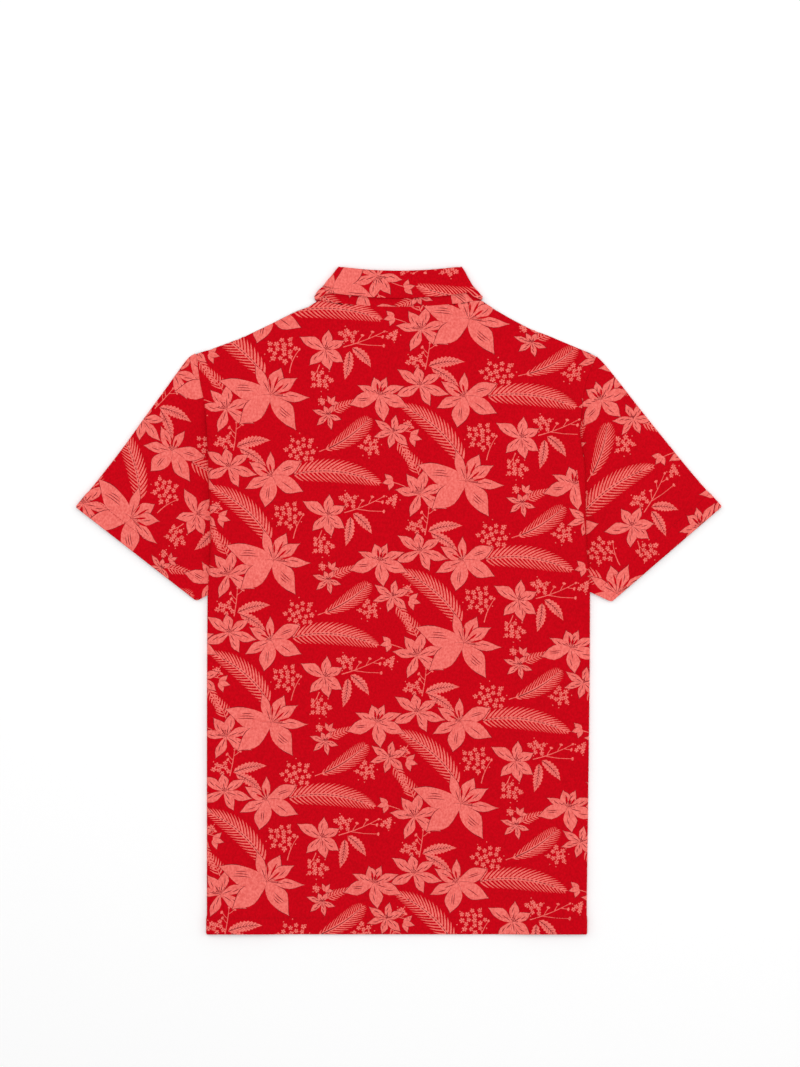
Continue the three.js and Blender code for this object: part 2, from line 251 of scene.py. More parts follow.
def halfWidth(width, fullest, sharp, t):
    # of a petal or leaf, at a share t of its length
    return width / 2 * np.sin(np.pi * t ** fullest) ** (sharp * (0.6 + 0.8 * t))


def blade(length, width, bend=0.0, fullest=1.0, sharp=1.0, steps=9, frill=0.0, hook=0.0):
    # the outline of a petal, leaf or leaflet; frill waves it from side to side, hook turns its tip
    t = (1 - np.cos(np.linspace(0, np.pi, steps + 1))) / 2
    points, normals = spineOf(length, bend, t)
    half = halfWidth(width, fullest, sharp, t)
    shift = frill * width * np.sin(8 * t + width) * np.sin(np.pi * t) + hook * length * t ** 3.5
    right = points + normals * (shift - half)[:, None]
    left = points + normals * (shift + half)[:, None]
    return np.concatenate([right, left[-2:0:-1]])


def ribbon(path, half):
    # a thin outline round a path; half is its half width at each point
    way = np.gradient(path, axis=0)
    way /= np.maximum(np.linalg.norm(way, axis=1, keepdims=True), 1e-9)
    side = np.stack([-way[:, 1], way[:, 0]], 1) * np.asarray(half)[:, None]
    return np.concatenate([path - side, (path + side)[::-1]])


def taper(count, half):
    return half * (0.12 + 0.88 * np.sin(np.pi * np.linspace(0.03, 0.97, count)))


drawing = {
    "rim": 0.3, "vein": 0.42, "stem": 0.5, "stripe": 1.15, "stamen": 0.22,  # half widths of the drawn lines
    "broad": 15,  # petals wider than this are blunter, with veins to one side
}


def petal(angle, length, width, bend=0.2, veins=2):
    broad = width > drawing["broad"]
    fullest, sharp = 1.12, (0.92 if broad else 1.15)
    steps = 7 if length < 20 else (9 if length < 34 else 12)
    shape = dict(bend=bend, fullest=fullest, sharp=sharp, steps=steps, frill=0.045, hook=-0.5 * bend)
    made = [
        ("line", blade(length + 1.3, width + 2 * drawing["rim"], **shape) - [0.3, 0]),
        ("coral", blade(length, width, **shape)),
    ]
    # offset as a share of the half width, start and end as shares of the length
    side = 1 if bend < 0 else -1
    if broad:
        strokes = [(side * (0.02 + 0.25 * n), 0.34 + 0.05 * n, 0.74 - 0.04 * n) for n in range(veins)]
    else:
        strokes = [(0.0, 0.1, 0.46), (side * 0.4, 0.42, 0.7)][:1 + veins]
    for offset, start, end in strokes:
        t = np.linspace(start, end, 5)
        points, normals = spineOf(length, bend, t)
        path = points + normals * (offset * halfWidth(width, fullest, sharp, t))[:, None]
        made.append(("line", ribbon(path, taper(5, drawing["vein"]))))
    return placed(made, angle)


def throatOf(angle, spread, length, count, stripes=0):
    # count stamens fan out over spread degrees; a trumpet has dark stripes under them
    made = []
    for n in range(stripes):
        path, _ = spineOf(length * (1.75 - 0.3 * (n % 2)), 0.25, np.linspace(0.38, 1, 5))
        lean = angle + (n - (stripes - 1) / 2) * 25
        made.append(("ground", turned(ribbon(path, taper(5, drawing["stripe"])), lean)))
    for n in range(count):
        share = n / max(count - 1, 1) - 0.5
        path, _ = spineOf(length * (0.8 + 0.2 * math.cos(2.4 * n)), 0.5 * share, np.linspace(0.25, 1, 3))
        anther = turned(blade(2.1, 1.1, steps=3), 65) + path[-1] - [0.4, 0.9]
        stamen = [("line", ribbon(path, np.full(3, drawing["stamen"]))), ("line", anther)]
        made += placed(stamen, angle + spread * share)
    return made


def lily(at, petals, throat=None):
    # each petal is angle, length, width, bend, veins; the throat is as throatOf takes it
    reach = 0.13 * sum(row[1] for row in petals) / len(petals)
    a = np.linspace(0, 2 * np.pi, 9)[:-1]
    made = [("coral", reach * np.stack([np.cos(a), np.sin(a)], 1))]
    for row in petals:
        made += petal(*row)
    if throat:
        made += throatOf(*throat)
    return [(ink, points + np.array(at, float)) for ink, points in made]


def chord(base, tip, bow):
    # start angle, length and bend in radians of an arc from base to tip that turns by bow degrees
    dx, dy = tip[0] - base[0], tip[1] - base[1]
    bend = math.radians(bow)
    reach = math.hypot(dx, dy)
    length = reach if abs(bend) < 1e-6 else reach * (bend / 2) / math.sin(bend / 2)
    return math.degrees(math.atan2(dy, dx)) - bow / 2, length, bend


def leaflets(length, bend, count, reachAt, leanAt, fill, curl, first=0.35):
    # pairs of narrow leaflets up both sides of a stem; fill is how much of their pitch they take up,
    # curl how far each bends to the tip, and first how far up its share of the stem the first stands
    made = []
    for n in range(count):
        share = (n + first) / count
        root, across = spineOf(length, bend, np.array([share]))
        heading = math.degrees(bend * share)
        for side in (1, -1):
            squeeze = min(max(side * bend, -0.2), 0.7)  # the leaflets stand closer inside a bend
            lean = leanAt(share) + 10 * squeeze
            reach = reachAt(share) / math.sin(math.radians(lean))
            thick = length / count * math.sin(math.radians(lean)) * fill * (1 - 0.5 * squeeze)
            foot = root[0] + across[0] * drawing["rim"] * side
            leaflet = blade(reach, thick, bend=-curl * side, fullest=0.55, sharp=0.55, steps=4)
            made.append(("coral", turned(leaflet, heading + lean * side, foot)))
    return made


def frond(base, tip, width, bow, count):
    start, length, bend = chord(base, tip, bow)
    t = np.linspace(0.02, 0.99, 10)
    points, _ = spineOf(length, bend, t)
    made = [("coral", ribbon(points, 0.5 + 0.045 * width * np.sin(np.pi * t ** 0.8)))]
    reachAt = lambda share: width / 2 * math.sin(math.pi * (0.12 + 0.87 * share) ** 0.75) ** 0.8
    made += leaflets(length, bend, count, reachAt, lambda share: 50 - 20 * share, 0.6, 0.3)
    for n in range(count - 3):  # the broken dark line of the midrib
        path, _ = spineOf(length, bend, np.linspace((n + 0.3) / count, (n + 1.0) / count, 2))
        made.append(("line", ribbon(path, np.array([0.62, 0.2]))))
    return placed(made, start, base)


def feather(base, tip, width, bow, count):
    start, length, bend = chord(base, tip, bow)
    made = [("coral", blade(length, width * 0.16, bend=bend, fullest=0.95, sharp=0.8, steps=8))]
    reachAt = lambda share: width / 2 * math.sin(math.pi * (0.04 + 0.95 * share) ** 0.85) ** 0.8
    made += leaflets(length * 0.97, bend, count, reachAt, lambda share: 42 - 12 * share, 0.5, 0.25)
    path, _ = spineOf(length, bend, np.linspace(0.03, 0.93, 7))
    made.append(("line", ribbon(path, np.linspace(0.6, 0.2, 7))))
    return placed(made, start, base)


def fern(base, tip, width, bow, count):
    start, length, bend = chord(base, tip, bow)
    path, _ = spineOf(length, bend, np.linspace(0, 1, 5))
    made = [("coral", ribbon(path, np.linspace(0.5, 0.3, 5)))]
    reachAt = lambda share: width / 2 * (1.1 - 0.7 * share)
    made += leaflets(length, bend, count, reachAt, lambda share: 52, 0.5, 0.4, first=0.5)
    made.append(("coral", turned(blade(width * 0.3, width * 0.16, steps=4), math.degrees(bend), path[-1])))
    return placed(made, start, base)


def leaf(base, tip, width, bow, teeth):
    # a toothed leaf with a midrib and a pair of veins for each tooth
    start, length, bend = chord(base, tip, bow)
    t = np.linspace(0, 1, 2 * teeth + 1)
    points, normals = spineOf(length, bend, t)
    half = halfWidth(width, 0.85, 0.85, t) * (1 + 0.16 * (-1.0) ** np.arange(2 * teeth + 1))
    right, left = points - normals * half[:, None], points + normals * half[:, None]
    made = [("coral", np.concatenate([right, left[-2:0:-1]]))]
    path, _ = spineOf(length, bend, np.linspace(0.02, 0.9, 6))
    made.append(("line", ribbon(path, np.linspace(0.42, 0.14, 6))))
    for n in range(1, teeth):
        share = n / teeth * 0.86
        root, _ = spineOf(length, bend, np.array([share]))
        reach = halfWidth(width, 0.85, 0.85, share)
        for side in (1, -1):
            vein, _ = spineOf(reach, 0, np.array([0.05, 1]))
            angle = math.degrees(bend * share) + 40 * side
            made.append(("line", turned(ribbon(vein, np.array([0.26, 0.1])), angle, root[0])))
    return placed(made, start, base)


def cluster(at, radius, count, turn, dots):
    # small five-petalled blossoms on a golden-angle spiral, with loose buds round them
    made = []
    golden = 137.5
    a = np.radians(np.concatenate([72 * k + np.array([0, 18, 54]) for k in range(5)]))
    blossom = np.stack([np.cos(a), np.sin(a)], 1) * np.tile([0.42, 1.0, 1.0], 5)[:, None]
    square = np.array([[1, 0], [0, 1], [-1, 0], [0, -1]])
    for k in range(count):
        reach = (radius - 2.2) * math.sqrt((k + 0.35) / count)
        angle = math.radians(golden * k + turn)
        size = 2.75 + 0.3 * math.cos(2.1 * k)
        place = np.array([reach * math.cos(angle) * 1.08, reach * math.sin(angle) * 0.94]) + at
        made.append(("coral", turned(blossom * size, 40 * k, place)))
        made.append(("line", square * 0.2 * size + place))
    for k in range(dots):
        angle = math.radians(golden * (k + count) + turn + 30)
        place = np.array([radius * math.cos(angle) * 1.05, radius * math.sin(angle) * 0.98]) + at
        made.append(("coral", square * 0.8 + place))
    return made


def twig(base, tip, bow, branches):
    # each branch is its share of the way up, its lean and its reach
    start, length, bend = chord(base, tip, bow)
    path, _ = spineOf(length, bend, np.linspace(0, 1, 6))
    made = [("coral", ribbon(path, np.linspace(drawing["stem"], 0.28, 6)))]
    made.append(("coral", turned(blade(3.2, 2.4, sharp=0.7, steps=4), math.degrees(bend), path[-1])))
    for share, lean, reach in branches:
        root, _ = spineOf(length, bend, np.array([share]))
        heading = math.degrees(bend * share) + lean
        branch, _ = spineOf(reach, -math.radians(lean) * 0.4, np.linspace(0, 1, 3))
        made.append(("coral", turned(ribbon(branch, np.linspace(0.36, 0.26, 3)), heading, root[0])))
        for fork in (-32, 8, 44):
            bud = turned(blade(2.9, 1.9, fullest=1.2, sharp=0.7, steps=3), fork, branch[-1] - [0.3, 0])
            made.append(("coral", turned(bud, heading, root[0])))
    return placed(made, start, base)


def lilyBud(base, tip, width):
    # an opening bud, seen from the side: a cup with three points
    start, length, _ = chord(base, tip, 0)
    made = [("coral", blade(length * 0.66, width * 0.9, fullest=0.8, sharp=0.5, steps=6))]
    for lean, share in ((-46, 1.0), (46, 1.0), (0, 1.05)):
        shape = dict(bend=math.radians(lean) * 0.35, fullest=0.72, steps=5)
        made.append(("line", turned(blade(length * share + 0.8, width * 0.5 + 0.6, **shape), lean)))
        made.append(("coral", turned(blade(length * share, width * 0.5, **shape), lean)))
    return placed(made, start, base)


# The design repeats in columns, each dropped against the last.
repeat = {"column": 215.3, "drop": 90.0, "height": 180.0}


def oneRepeat():
    made = []
    # base, tip, width, bow in degrees, number of leaflet pairs or teeth
    made += frond((-5, 20), (-73, 77), 28, 40, 19)
    made += frond((20, -88), (118, -97), 30, -38, 21)
    made += feather((57, -61), (108, -26), 24, 26, 15)
    made += fern((-54, 4), (-69, 28), 19, 24, 7)
    made += fern((66, -20), (89, -10), 14, -10, 7)
    made += fern((138, -50), (153, -76), 15, -12, 7)
    made += leaf((-43, -58), (-5, -51), 11, -30, 10)
    made += leaf((-40, -60), (-10, -79), 10, -24, 9)
    made += leaf((88, 50), (109, 28), 10, -34, 8)
    made += leaf((85, 46), (80, 14), 10, -20, 9)
    # base, tip, bow, branches
    made += twig((-47, -62), (-43, -33), 8, [(0.62, 62, 9), (0.8, -58, 8), (0.45, 60, 7)])
    made += twig((78, 51), (121, 69), 14, [(0.35, 48, 9), (0.62, 46, 8), (0.3, -30, 30), (0.8, -44, 7)])
    made += twig((21, 22), (31, 47), -24, [(0.5, 44, 9)])
    made += twig((53, 31), (47, 19), -20, [(0.5, 40, 5)])
    made += twig((50, -63), (58, -60), 0, [])
    made += twig((128, 86), (148, 80), -14, [])
    made += twig((-74, 52), (-58, 49), 10, [(0.5, 60, 6)])
    made += lilyBud((132, 87), (121, 84), 13)
    made += lilyBud((-63, 45), (-51, 42), 13)
    made += lilyBud((64, -12), (69, -4), 9)
    # centre, radius, blossoms, turn, loose buds
    made += cluster((14, 48), 17, 17, 20, 7)
    made += cluster((29, -61), 18, 18, 140, 8)
    made += cluster((83, 65), 11, 8, 60, 5)
    made += cluster((54, 14), 13, 11, 200, 7)
    made += cluster((107, -57), 12.5, 10, 300, 7)
    made += cluster((-57, -53), 11, 8, 90, 5)
    made += cluster((132, 65), 8, 5, 10, 4)
    made += cluster((54, -9), 5, 3, 10, 3)
    made += cluster((-66, 58), 5.5, 3, 50, 3)
    # star lilies
    made += lily((133, -41), [
        (20, 20, 8.5, 0.3, 1), (-40, 21, 9.5, -0.3, 1), (80, 18, 8.5, -0.3, 1), (147, 23, 8.5, 0.35, 1),
        (196, 22, 7.5, -0.3, 1), (255, 18, 8.5, 0.2, 1)], (60, 60, 4, 4))
    made += lily((61, -24), [
        (60, 12, 5.5, 0.2, 0), (115, 11, 5.5, 0.2, 0), (-18, 15, 6, -0.3, 1), (162, 18, 6, 0.3, 1),
        (220, 17, 6.5, -0.2, 1), (281, 16, 6, 0.2, 1)], (90, 90, 3, 3))
    made += lily((-52, -80), [
        (100, 21, 12, 0.1, 1), (147, 30, 11, -0.3, 1), (32, 26, 10, 0.25, 1), (205, 30, 11, 0.3, 2),
        (-14, 32, 11, -0.35, 2), (-64, 24, 11, 0.3, 1)], (95, 110, 5, 5))
    made += lily((59, 48), [
        (85, 23, 11, -0.25, 1), (27, 22, 11, 0.3, 1), (-78, 24, 12, -0.2, 1), (226, 24, 11, 0.25, 1),
        (-37, 24, 12, 0.3, 1), (152, 31, 13, -0.3, 2)], (60, 100, 5, 5))
    # trumpet lilies
    made += lily((118, -2), [
        (68, 21, 9.5, -0.3, 1), (20, 29, 9.5, 0.35, 1), (158, 25, 8.5, -0.4, 1), (106, 20, 12, 0.2, 1),
        (-22, 33, 14, 0.4, 2), (200, 33, 16, -0.45, 2), (-80, 29, 15, 0.15, 1)], (70, 120, 7, 6, 3))
    made += lily((-4, -90), [
        (92, 27, 9.5, 0.15, 0), (147, 29, 12, 0.4, 1), (27, 37, 16, -0.25, 2), (205, 33, 12, -0.2, 1),
        (-24, 38, 17.5, -0.35, 1), (257, 34, 18.5, 0.25, 2)], (118, 80, 8, 5, 3))
    made += lily((-53, -17), [
        (172, 28, 10, -0.2, 1), (125, 26, 12, -0.2, 1), (78, 28, 12, 0.2, 1), (18, 31, 11, 0.25, 2),
        (246, 27, 11, 0.3, 1), (-27, 33, 13, -0.3, 2)], (110, 90, 9, 6))
    made += lily((-2, -2), [
        (108, 36, 11, 0.2, 0), (64, 33, 16, -0.2, 1), (30, 35, 14, 0.35, 1), (-4, 43, 11, -0.2, 2),
        (161, 53, 22.5, 0.5, 3), (-57, 43, 21.5, 0.5, 3), (221, 47, 22.5, -0.4, 0)], (42, 70, 13, 4, 4))
    return made


design = oneRepeat()
print("print drawn:", len(design), "outlines,", sum(len(points) for _, points in design), "points")


def inside(points, outline):
    x, y = points[:, :1], points[:, 1:]
    a, b = outline, np.roll(outline, -1, 0)
    rise = b[:, 1] - a[:, 1]
    crosses = (a[:, 1] > y) != (b[:, 1] > y)
    at = a[:, 0] + (y - a[:, 1]) * (b[:, 0] - a[:, 0]) / np.where(rise == 0, 1, rise)
    return (crosses & (x < at)).sum(1) % 2 == 1


def pulled(points, pulls):
    # The print drawn out of true where the cloth was pulled in laying it out: each pull is the
    # x and up of its middle, its reach in x and up, and its shift in x and up.
    shift = np.zeros_like(points)
    for x, up, reachX, reachUp, shiftX, shiftUp in pulls:
        share = np.exp(-((points[:, 0] - x) / reachX) ** 2 - ((points[:, 1] - up) / reachUp) ** 2)
        shift += share[:, None] * [shiftX, shiftUp]
    return points + shift


def layDesign(outline, place):
    # place says where one point of the repeat falls on the piece, and how far the design is turned there
    low, high = outline.min(0), outline.max(0)
    every = np.concatenate([points for _, points in design])
    shifts = []
    for i in range(-4, 5):
        for j in range(-6, 7):
            corner = np.array([i * repeat["column"], i * repeat["drop"] + j * repeat["height"]])
            shift = corner - place["anchor"]
            spread = turned(every + shift, place["turn"], place["at"])
            if (spread.max(0) > low).all() and (spread.min(0) < high).all():
                shifts.append(shift)
    laid = []
    for ink, points in design:
        for shift in shifts:
            spread = pulled(turned(points + shift, place["turn"], place["at"]), place.get("pulls", []))
            if (spread.max(0) < low).any() or (spread.min(0) > high).any():
                continue
            if inside(spread, outline).any():
                laid.append((ink, spread))
    return laid


# printed cloth: a thin closed shell, cut to its flat outline, printed, then folded into place

meshing = {
    "clear": 2.0,  # how far the plain grid of points keeps from the cut's corners
    "liningClear": 3.0,
    "liningPitch": 1.5,  # the wrong side's grid, against the right side's
    "apart": 0.3,  # least gap to the edge's points
}


def triangulate(points, edges, rings):
    # the points that come out, each face inside the first ring with the last ring that covers it,
    # and which of the given points each new one stands for
    verts = [Vector(p) for p in points]
    made = delaunay_2d_cdt(verts, edges, rings, 0, 1e-4, True)
    flat = np.array([tuple(v) for v in made[0]])
    faces = [(tuple(face), max(origins)) for face, origins in zip(made[2], made[5]) if 0 in origins]
    return flat, faces, made[3]


def flatGrid(outline, pitch, margin):
    # a grid of near-equal triangles inside an outline, clear of its corners
    low, high = outline.min(0), outline.max(0)
    rows = np.arange(low[1] + pitch / 2, high[1], pitch * 0.866)
    columns = np.arange(low[0] + pitch / 2, high[0], pitch)
    grid = np.array([(x + (k % 2) * pitch / 2, y) for k, y in enumerate(rows) for x in columns])
    grid = grid[inside(grid, outline)]
    gap = np.min([np.abs(grid - point).max(1) for point in outline], axis=0)
    return grid[gap > margin]


def ringOf(faces):
    # the outer edge of a set of triangles, in order
    once = {}
    for face, _ in faces:
        for a, b in zip(face, face[1:] + face[:1]):
            if (b, a) in once:
                del once[(b, a)]
            else:
                once[(a, b)] = True
    follow = dict(once.keys())
    start = next(iter(follow))
    ring = [start]
    while follow[ring[-1]] != start:
        ring.append(follow[ring[-1]])
    return ring


def frameOf(spot, flat):
    # points in the middle of the cloth, and the way its right side faces
    step = 0.02
    across = spot(flat + [step, 0]) - spot(flat - [step, 0])
    lengthwise = spot(flat + [0, step]) - spot(flat - [0, step])
    normal = np.cross(across, lengthwise)
    return spot(flat), normal / np.linalg.norm(normal, axis=1, keepdims=True)


def inkEdges(outline, place):
    # The whole drawing laid over the cut, and the edges in it where one ink meets another:
    # whatever another motif covers is dropped.
    points = list(outline)
    rings = [list(range(len(outline)))]
    colours = [0]
    plain = [("ground", np.array(patch, float)) for patch in place.get("plain", [])]
    for ink, drawn in layDesign(outline, place) + plain:
        rings.append(list(range(len(points), len(points) + len(drawn))))
        colours.append(inkNames.index(ink))
        points += list(drawn)
    flat, faces, _ = triangulate(points, [], rings)
    inkOf = [colours[top] for _, top in faces]
    beside = {}
    for (face, _), ink in zip(faces, inkOf):
        for a, b in zip(face, face[1:] + face[:1]):
            beside[(a, b)] = ink
    meets = [(a, b) for (a, b), ink in beside.items() if a < b and beside.get((b, a), ink) != ink]
    ring = ringOf(faces)
    used = sorted({k for edge in meets for k in edge} | set(ring))
    fresh = {k: n for n, k in enumerate(used)}
    chart = BVHTree.FromPolygons([(x, y, 0) for x, y in flat], [face for face, _ in faces])
    return flat[used], [(fresh[a], fresh[b]) for a, b in meets], [fresh[k] for k in ring], chart, inkOf


def printedSide(outline, guides, place, pitch):
    # the right side's points, its triangles, and the ink of the drawing under the middle of each
    drawn, edges, ring, chart, inkOf = inkEdges(outline, place)
    points = [*drawn, *flatGrid(outline, pitch, meshing["clear"])]
    for path in guides:
        edges += [(len(points) + k, len(points) + k + 1) for k in range(len(path) - 1)]
        points += list(path)
    flat, faces, _ = triangulate(points, edges, [ring])
    slots = []
    for face, _ in faces:
        x, y = flat[list(face)].mean(0)
        found = chart.ray_cast((x, y, 1), (0, 0, -1))[2]
        slots.append(0 if found is None else inkOf[found])
    return flat, faces, slots


def wrongSide(outline, guides, edge, pitch):
    # the same edge with fewer points inside it, and where each point of the edge went
    grid = flatGrid(outline, meshing["liningPitch"] * pitch, meshing["liningClear"])
    loose = np.concatenate([grid] + [path[inside(path, outline)] for path in guides])
    gap = np.array([np.abs(edge - point).max(1).min() for point in loose])
    points = [*edge, *loose[gap > meshing["apart"]]]
    flat, faces, origins = triangulate(points, [], [list(range(len(edge)))])
    number = {}
    for k, found in enumerate(origins):
        for origin in found:
            if origin < len(edge):
                number[origin] = k
    return flat, faces, number


def printedCloth(name, outline, guides, spot, place, pitch=9.0, swell=None):
    # spot turns flat places into places in the middle of the cloth; swell makes the right side prouder
    flat, faces, slots = printedSide(outline, guides, place, pitch)
    ring = ringOf(faces)
    liningFlat, liningFaces, number = wrongSide(outline, guides, flat[ring], pitch)
    outer, outward = frameOf(spot, flat)
    inner, inward = frameOf(spot, liningFlat)
    half = cloth["thickness"] / 2
    proud = 0 if swell is None else swell(flat)[:, None]
    count = len(flat)
    verts = np.concatenate([outer + outward * (half + proud), inner - inward * half])
    normals = np.concatenate([outward, -inward])
    triangles = [face for face, _ in faces]
    for face, _ in liningFaces:
        triangles.append(tuple(count + k for k in reversed(face)))
        slots.append(inkNames.index("wrongSide"))
    for k, a in enumerate(ring):
        b = ring[(k + 1) % len(ring)]
        c, d = count + number[(k + 1) % len(ring)], count + number[k]
        triangles += [(b, a, d), (b, d, c)]
        slots += [0, 0]

    used = np.unique(np.array(triangles))
    fresh = np.full(len(verts), -1)
    fresh[used] = np.arange(len(used))
    verts, normals = verts[used], normals[used]
    verts[:, 2] = np.maximum(verts[:, 2], 0)
    triangles = fresh[np.array(triangles)]
    mesh = bpy.data.meshes.new(name)
    mesh.from_pydata(((verts + [0, hemLine, 0]) * mm).tolist(), [], triangles.tolist())
    for material in inks.values():
        mesh.materials.append(material)
    mesh.polygons.foreach_set("material_index", np.array(slots, dtype=np.int32))
    mesh.polygons.foreach_set("use_smooth", np.ones(len(slots), dtype=bool))
    flatAll = np.concatenate([flat, liningFlat])[used]
    layFlat(mesh, flatAll, used >= count, triangles)
    mesh.normals_split_custom_set_from_vertices(normals.tolist())
    piece = bpy.data.objects.new(name, mesh)
    bpy.context.collection.objects.link(piece)
    print(name, len(triangles), "triangles")
    return piece


def layFlat(mesh, flat, isLining, triangles):
    # A map of the cut piece: its right side large, its wrong side and edges small, beside or above it.
    near, far, whole = 0.01, 0.99, 0.98  # the map's margins, and what lies between them
    largeShare, smallShare = 0.74, 0.22
    low, high = flat.min(0), flat.max(0)
    size = high - low
    layer = mesh.uv_layers.new(name="OFBake")
    across = 0 if size[0] < size[1] else 1  # the shorter way, along which the two lie side by side
    scale = min(whole / size[1 - across], largeShare / size[across])
    small = smallShare / max(size[across], 1e-6)
    other = np.array([near, near])
    other[across] = far - small * size[across]
    small = min(small, whole / size.max())
    large = (flat - low) * scale + near
    tiny = (flat - low) * small + other
    cornerVerts = np.array(triangles)
    plain = isLining[cornerVerts].any(1)
    uv = np.where(plain[:, None, None], tiny[cornerVerts], large[cornerVerts])
    layer.data.foreach_set("uv", uv.astype(np.float32).ravel())


# curves, tables and the forms that several pieces share

def smooth(start, end, at):
    share = np.clip((at - start) / (end - start), 0, 1)
    return share * share * (3 - 2 * share)


def readTable(rows, column, at):
    # a smooth curve through one column of a table whose first column is its key
    table = np.array(rows, float)
    key, value = table[:, 0], table[:, column]
    slope = np.empty(len(key))
    slope[1:-1] = (value[2:] - value[:-2]) / (key[2:] - key[:-2])
    slope[0] = (value[1] - value[0]) / (key[1] - key[0])
    slope[-1] = (value[-1] - value[-2]) / (key[-1] - key[-2])
    at = np.clip(at, key[0], key[-1])
    row = np.clip(np.searchsorted(key, at, side="right") - 1, 0, len(key) - 2)
    span = key[row + 1] - key[row]
    t = (at - key[row]) / span
    rise = (value[row + 1] - value[row]) * t * t * (3 - 2 * t)
    return value[row] + rise + span * (slope[row] * t * (1 - t) ** 2 - slope[row + 1] * t * t * (1 - t))


def bySide(rows, sign, at):
    return np.where(sign < 0, readTable(rows, 1, at), readTable(rows, 2, at))


def creaseHeight(rows, x, up):
    # soft ridges, or troughs where a row's height is below 0; bow bends one along its length
    total = np.zeros(np.shape(x))
    for middleX, middleUp, angle, length, width, height, bow in rows:
        c, s = math.cos(math.radians(angle)), math.sin(math.radians(angle))
        along = ((x - middleX) * c + (up - middleUp) * s) / length
        across = ((up - middleUp) * c - (x - middleX) * s - bow * along * along) / width
        total = total + height * np.exp(-2 * along ** 2 - 2 * across ** 2)
    return total


def rounded(distance, reach):
    # 1 at the cloth's very edge, falling to 0 along a quarter circle
    edge = 1 - np.clip(distance, 0, reach) / reach
    return 1 - np.sqrt(1 - edge ** 2)


def hemBand(distance, stitching, height, softEnd):
    # a turned-up hem stands proud up to its stitching, which pulls in a fine groove
    band = height * (1 - smooth(stitching + 0.4, stitching + softEnd, distance)) * smooth(0, 1.2, distance)
    groove = cloth["groove"]
    return band - groove["depth"] * np.exp(-((distance - stitching) / groove["reach"]) ** 2)


def rolledUnder(out, line, radius):
    # cloth past the fold line goes round the fold and back: how far out it lands, how far round it
    # is, and the part of out that stays flat
    past = np.maximum(out - line, 0)
    angle = np.minimum(past / radius, math.pi)
    tucked = np.maximum(past - math.pi * radius, 0)
    flatOut = np.minimum(out, line)
    return flatOut + radius * np.sin(angle) - tucked, angle, flatOut


def unit(way):
    return way / np.linalg.norm(way)


# back and front

body = {
    "tuck": 50.0,  # how far each side is folded under
    "tuckSlant": 0.46,  # rise of its top edge over its reach
    "underarmUp": 378.0,
    "diveUp": 545.0,  # below this the sleeve runs in under the body's edge
    "riseUp": 590.0,  # above this body and sleeve lie level
    "tipUp": 650.0,
    "neckHalf": 92.0,
    "backNeckUp": 701.0,
    "neckPointUp": 709.0,
    "frontNeckUp": 632.0,
    "placketWidth": 34.0,
    "placketLength": 150.0,
    "placketLift": 2.3,
    "placketRamp": {"out": (20, 80), "up": (50, 14)},  # how the front climbs onto it
    "leafUp": 596.0,  # the collar leaves' points, under the front
    "leafRamp": {"out": (110, 150), "up": (60, 8)},
    "tuckRamp": (48, 8),  # distances from the tuck's inner edge
    "loft": 6.2,  # how far the back's edges stand up beside the sleeves
    "loftRamp": (50, 6),
    "frontLoft": 0.2,  # the front's share of that
    "loftGrows": (372, 430),
    "loftEnds": (556, 600),
    "rollTurn": 2.2,  # how far round the raised edge rolls
    "shoulderRoll": {"radius": 1.2, "turn": 1.0},  # what that comes down to at the shoulder
    "tuckEnds": (366, 384),  # heights between which the tuck gives way to that roll
    "rollGrows": (372, 400),
    "rollEnds": (560, 590),
    "shoulderRound": {"reach": 1.6, "drop": 1.1, "slope": 0.915},  # slope: the cosine of its lean
    "hemRound": {"reach": 1.3, "drop": 0.5},
    "hem": 18.5,  # the hem's stitching, above its edge
    "hemSwell": 0.75,  # the turned-up layer under it
    "hemLift": 0.9,  # its band lies that much higher, on that layer
    "armholeSeam": 1.2,  # the back's edge lies that much higher over it, by the shoulder
    "armholeRamp": {"out": (22, 6), "up": (540, 575)},
    "place": {
        "turn": -1.05, "at": (73.8, 327.1), "anchor": (0.0, 0.0),
        "pulls": [(-190, 650, 85, 48, -13, 0), (178, 650, 78, 44, 11, -3), (-30, 625, 150, 95, -4, 6),
                  (-200, 300, 70, 150, 4.5, -5.5), (190, 300, 60, 150, 0, -3)],
    },
    # the plain strip along the right armhole seam, x and up
    "plain": [[(222, 436), (222, 560), (199, 560), (198.2, 540), (198.4, 518), (204.4, 474), (209, 440)]],
    # height, half width on the left (-x) and on the right
    "edge": [
        (0, 214.7, 209.4), (378, 213.9, 213.4), (430, 210.6, 209.6), (475, 211.3, 208.6),
        (520, 213.0, 207.6), (560, 214.7, 202.4), (590, 217.2, 204.8), (618, 222.8, 209.4),
        (650, 227.0, 222.5),
    ],
    # share of the way from neck point to sleeve, height on the left and on the right
    "shoulder": [
        (0.0, 706.6, 707.6), (0.06, 700.9, 702.4), (0.12, 698.0, 697.3), (0.2, 693.3, 690.8),
        (0.4, 680.0, 677.4), (0.6, 667.4, 666.8), (0.86, 653.9, 652.6), (1.0, 648.0, 645.2),
    ],
    # x, up, angle, length, width, height, bow
    "creases": [
        (-185, 470, 62, 60, 16, 1.6, 6), (-168, 430, 70, 46, 13, -0.9, -4), (188, 480, 112, 62, 17, 1.7, -6),
        (170, 436, 104, 44, 12, -0.9, 5), (-120, 250, 86, 150, 34, 0.9, 10), (96, 190, 95, 130, 30, 0.8, -9),
        (-30, 120, 78, 120, 38, 0.8, 6), (150, 330, 100, 110, 30, 0.9, 8), (10, 430, 8, 150, 40, 0.7, 14),
        (-150, 600, 28, 60, 22, 1.0, 4), (150, 602, 150, 60, 22, 1.0, -4), (0, 655, 0, 90, 20, -0.7, -10),
    ],
}


def edgeOut(sign, up):
    return bySide(body["edge"], sign, up)


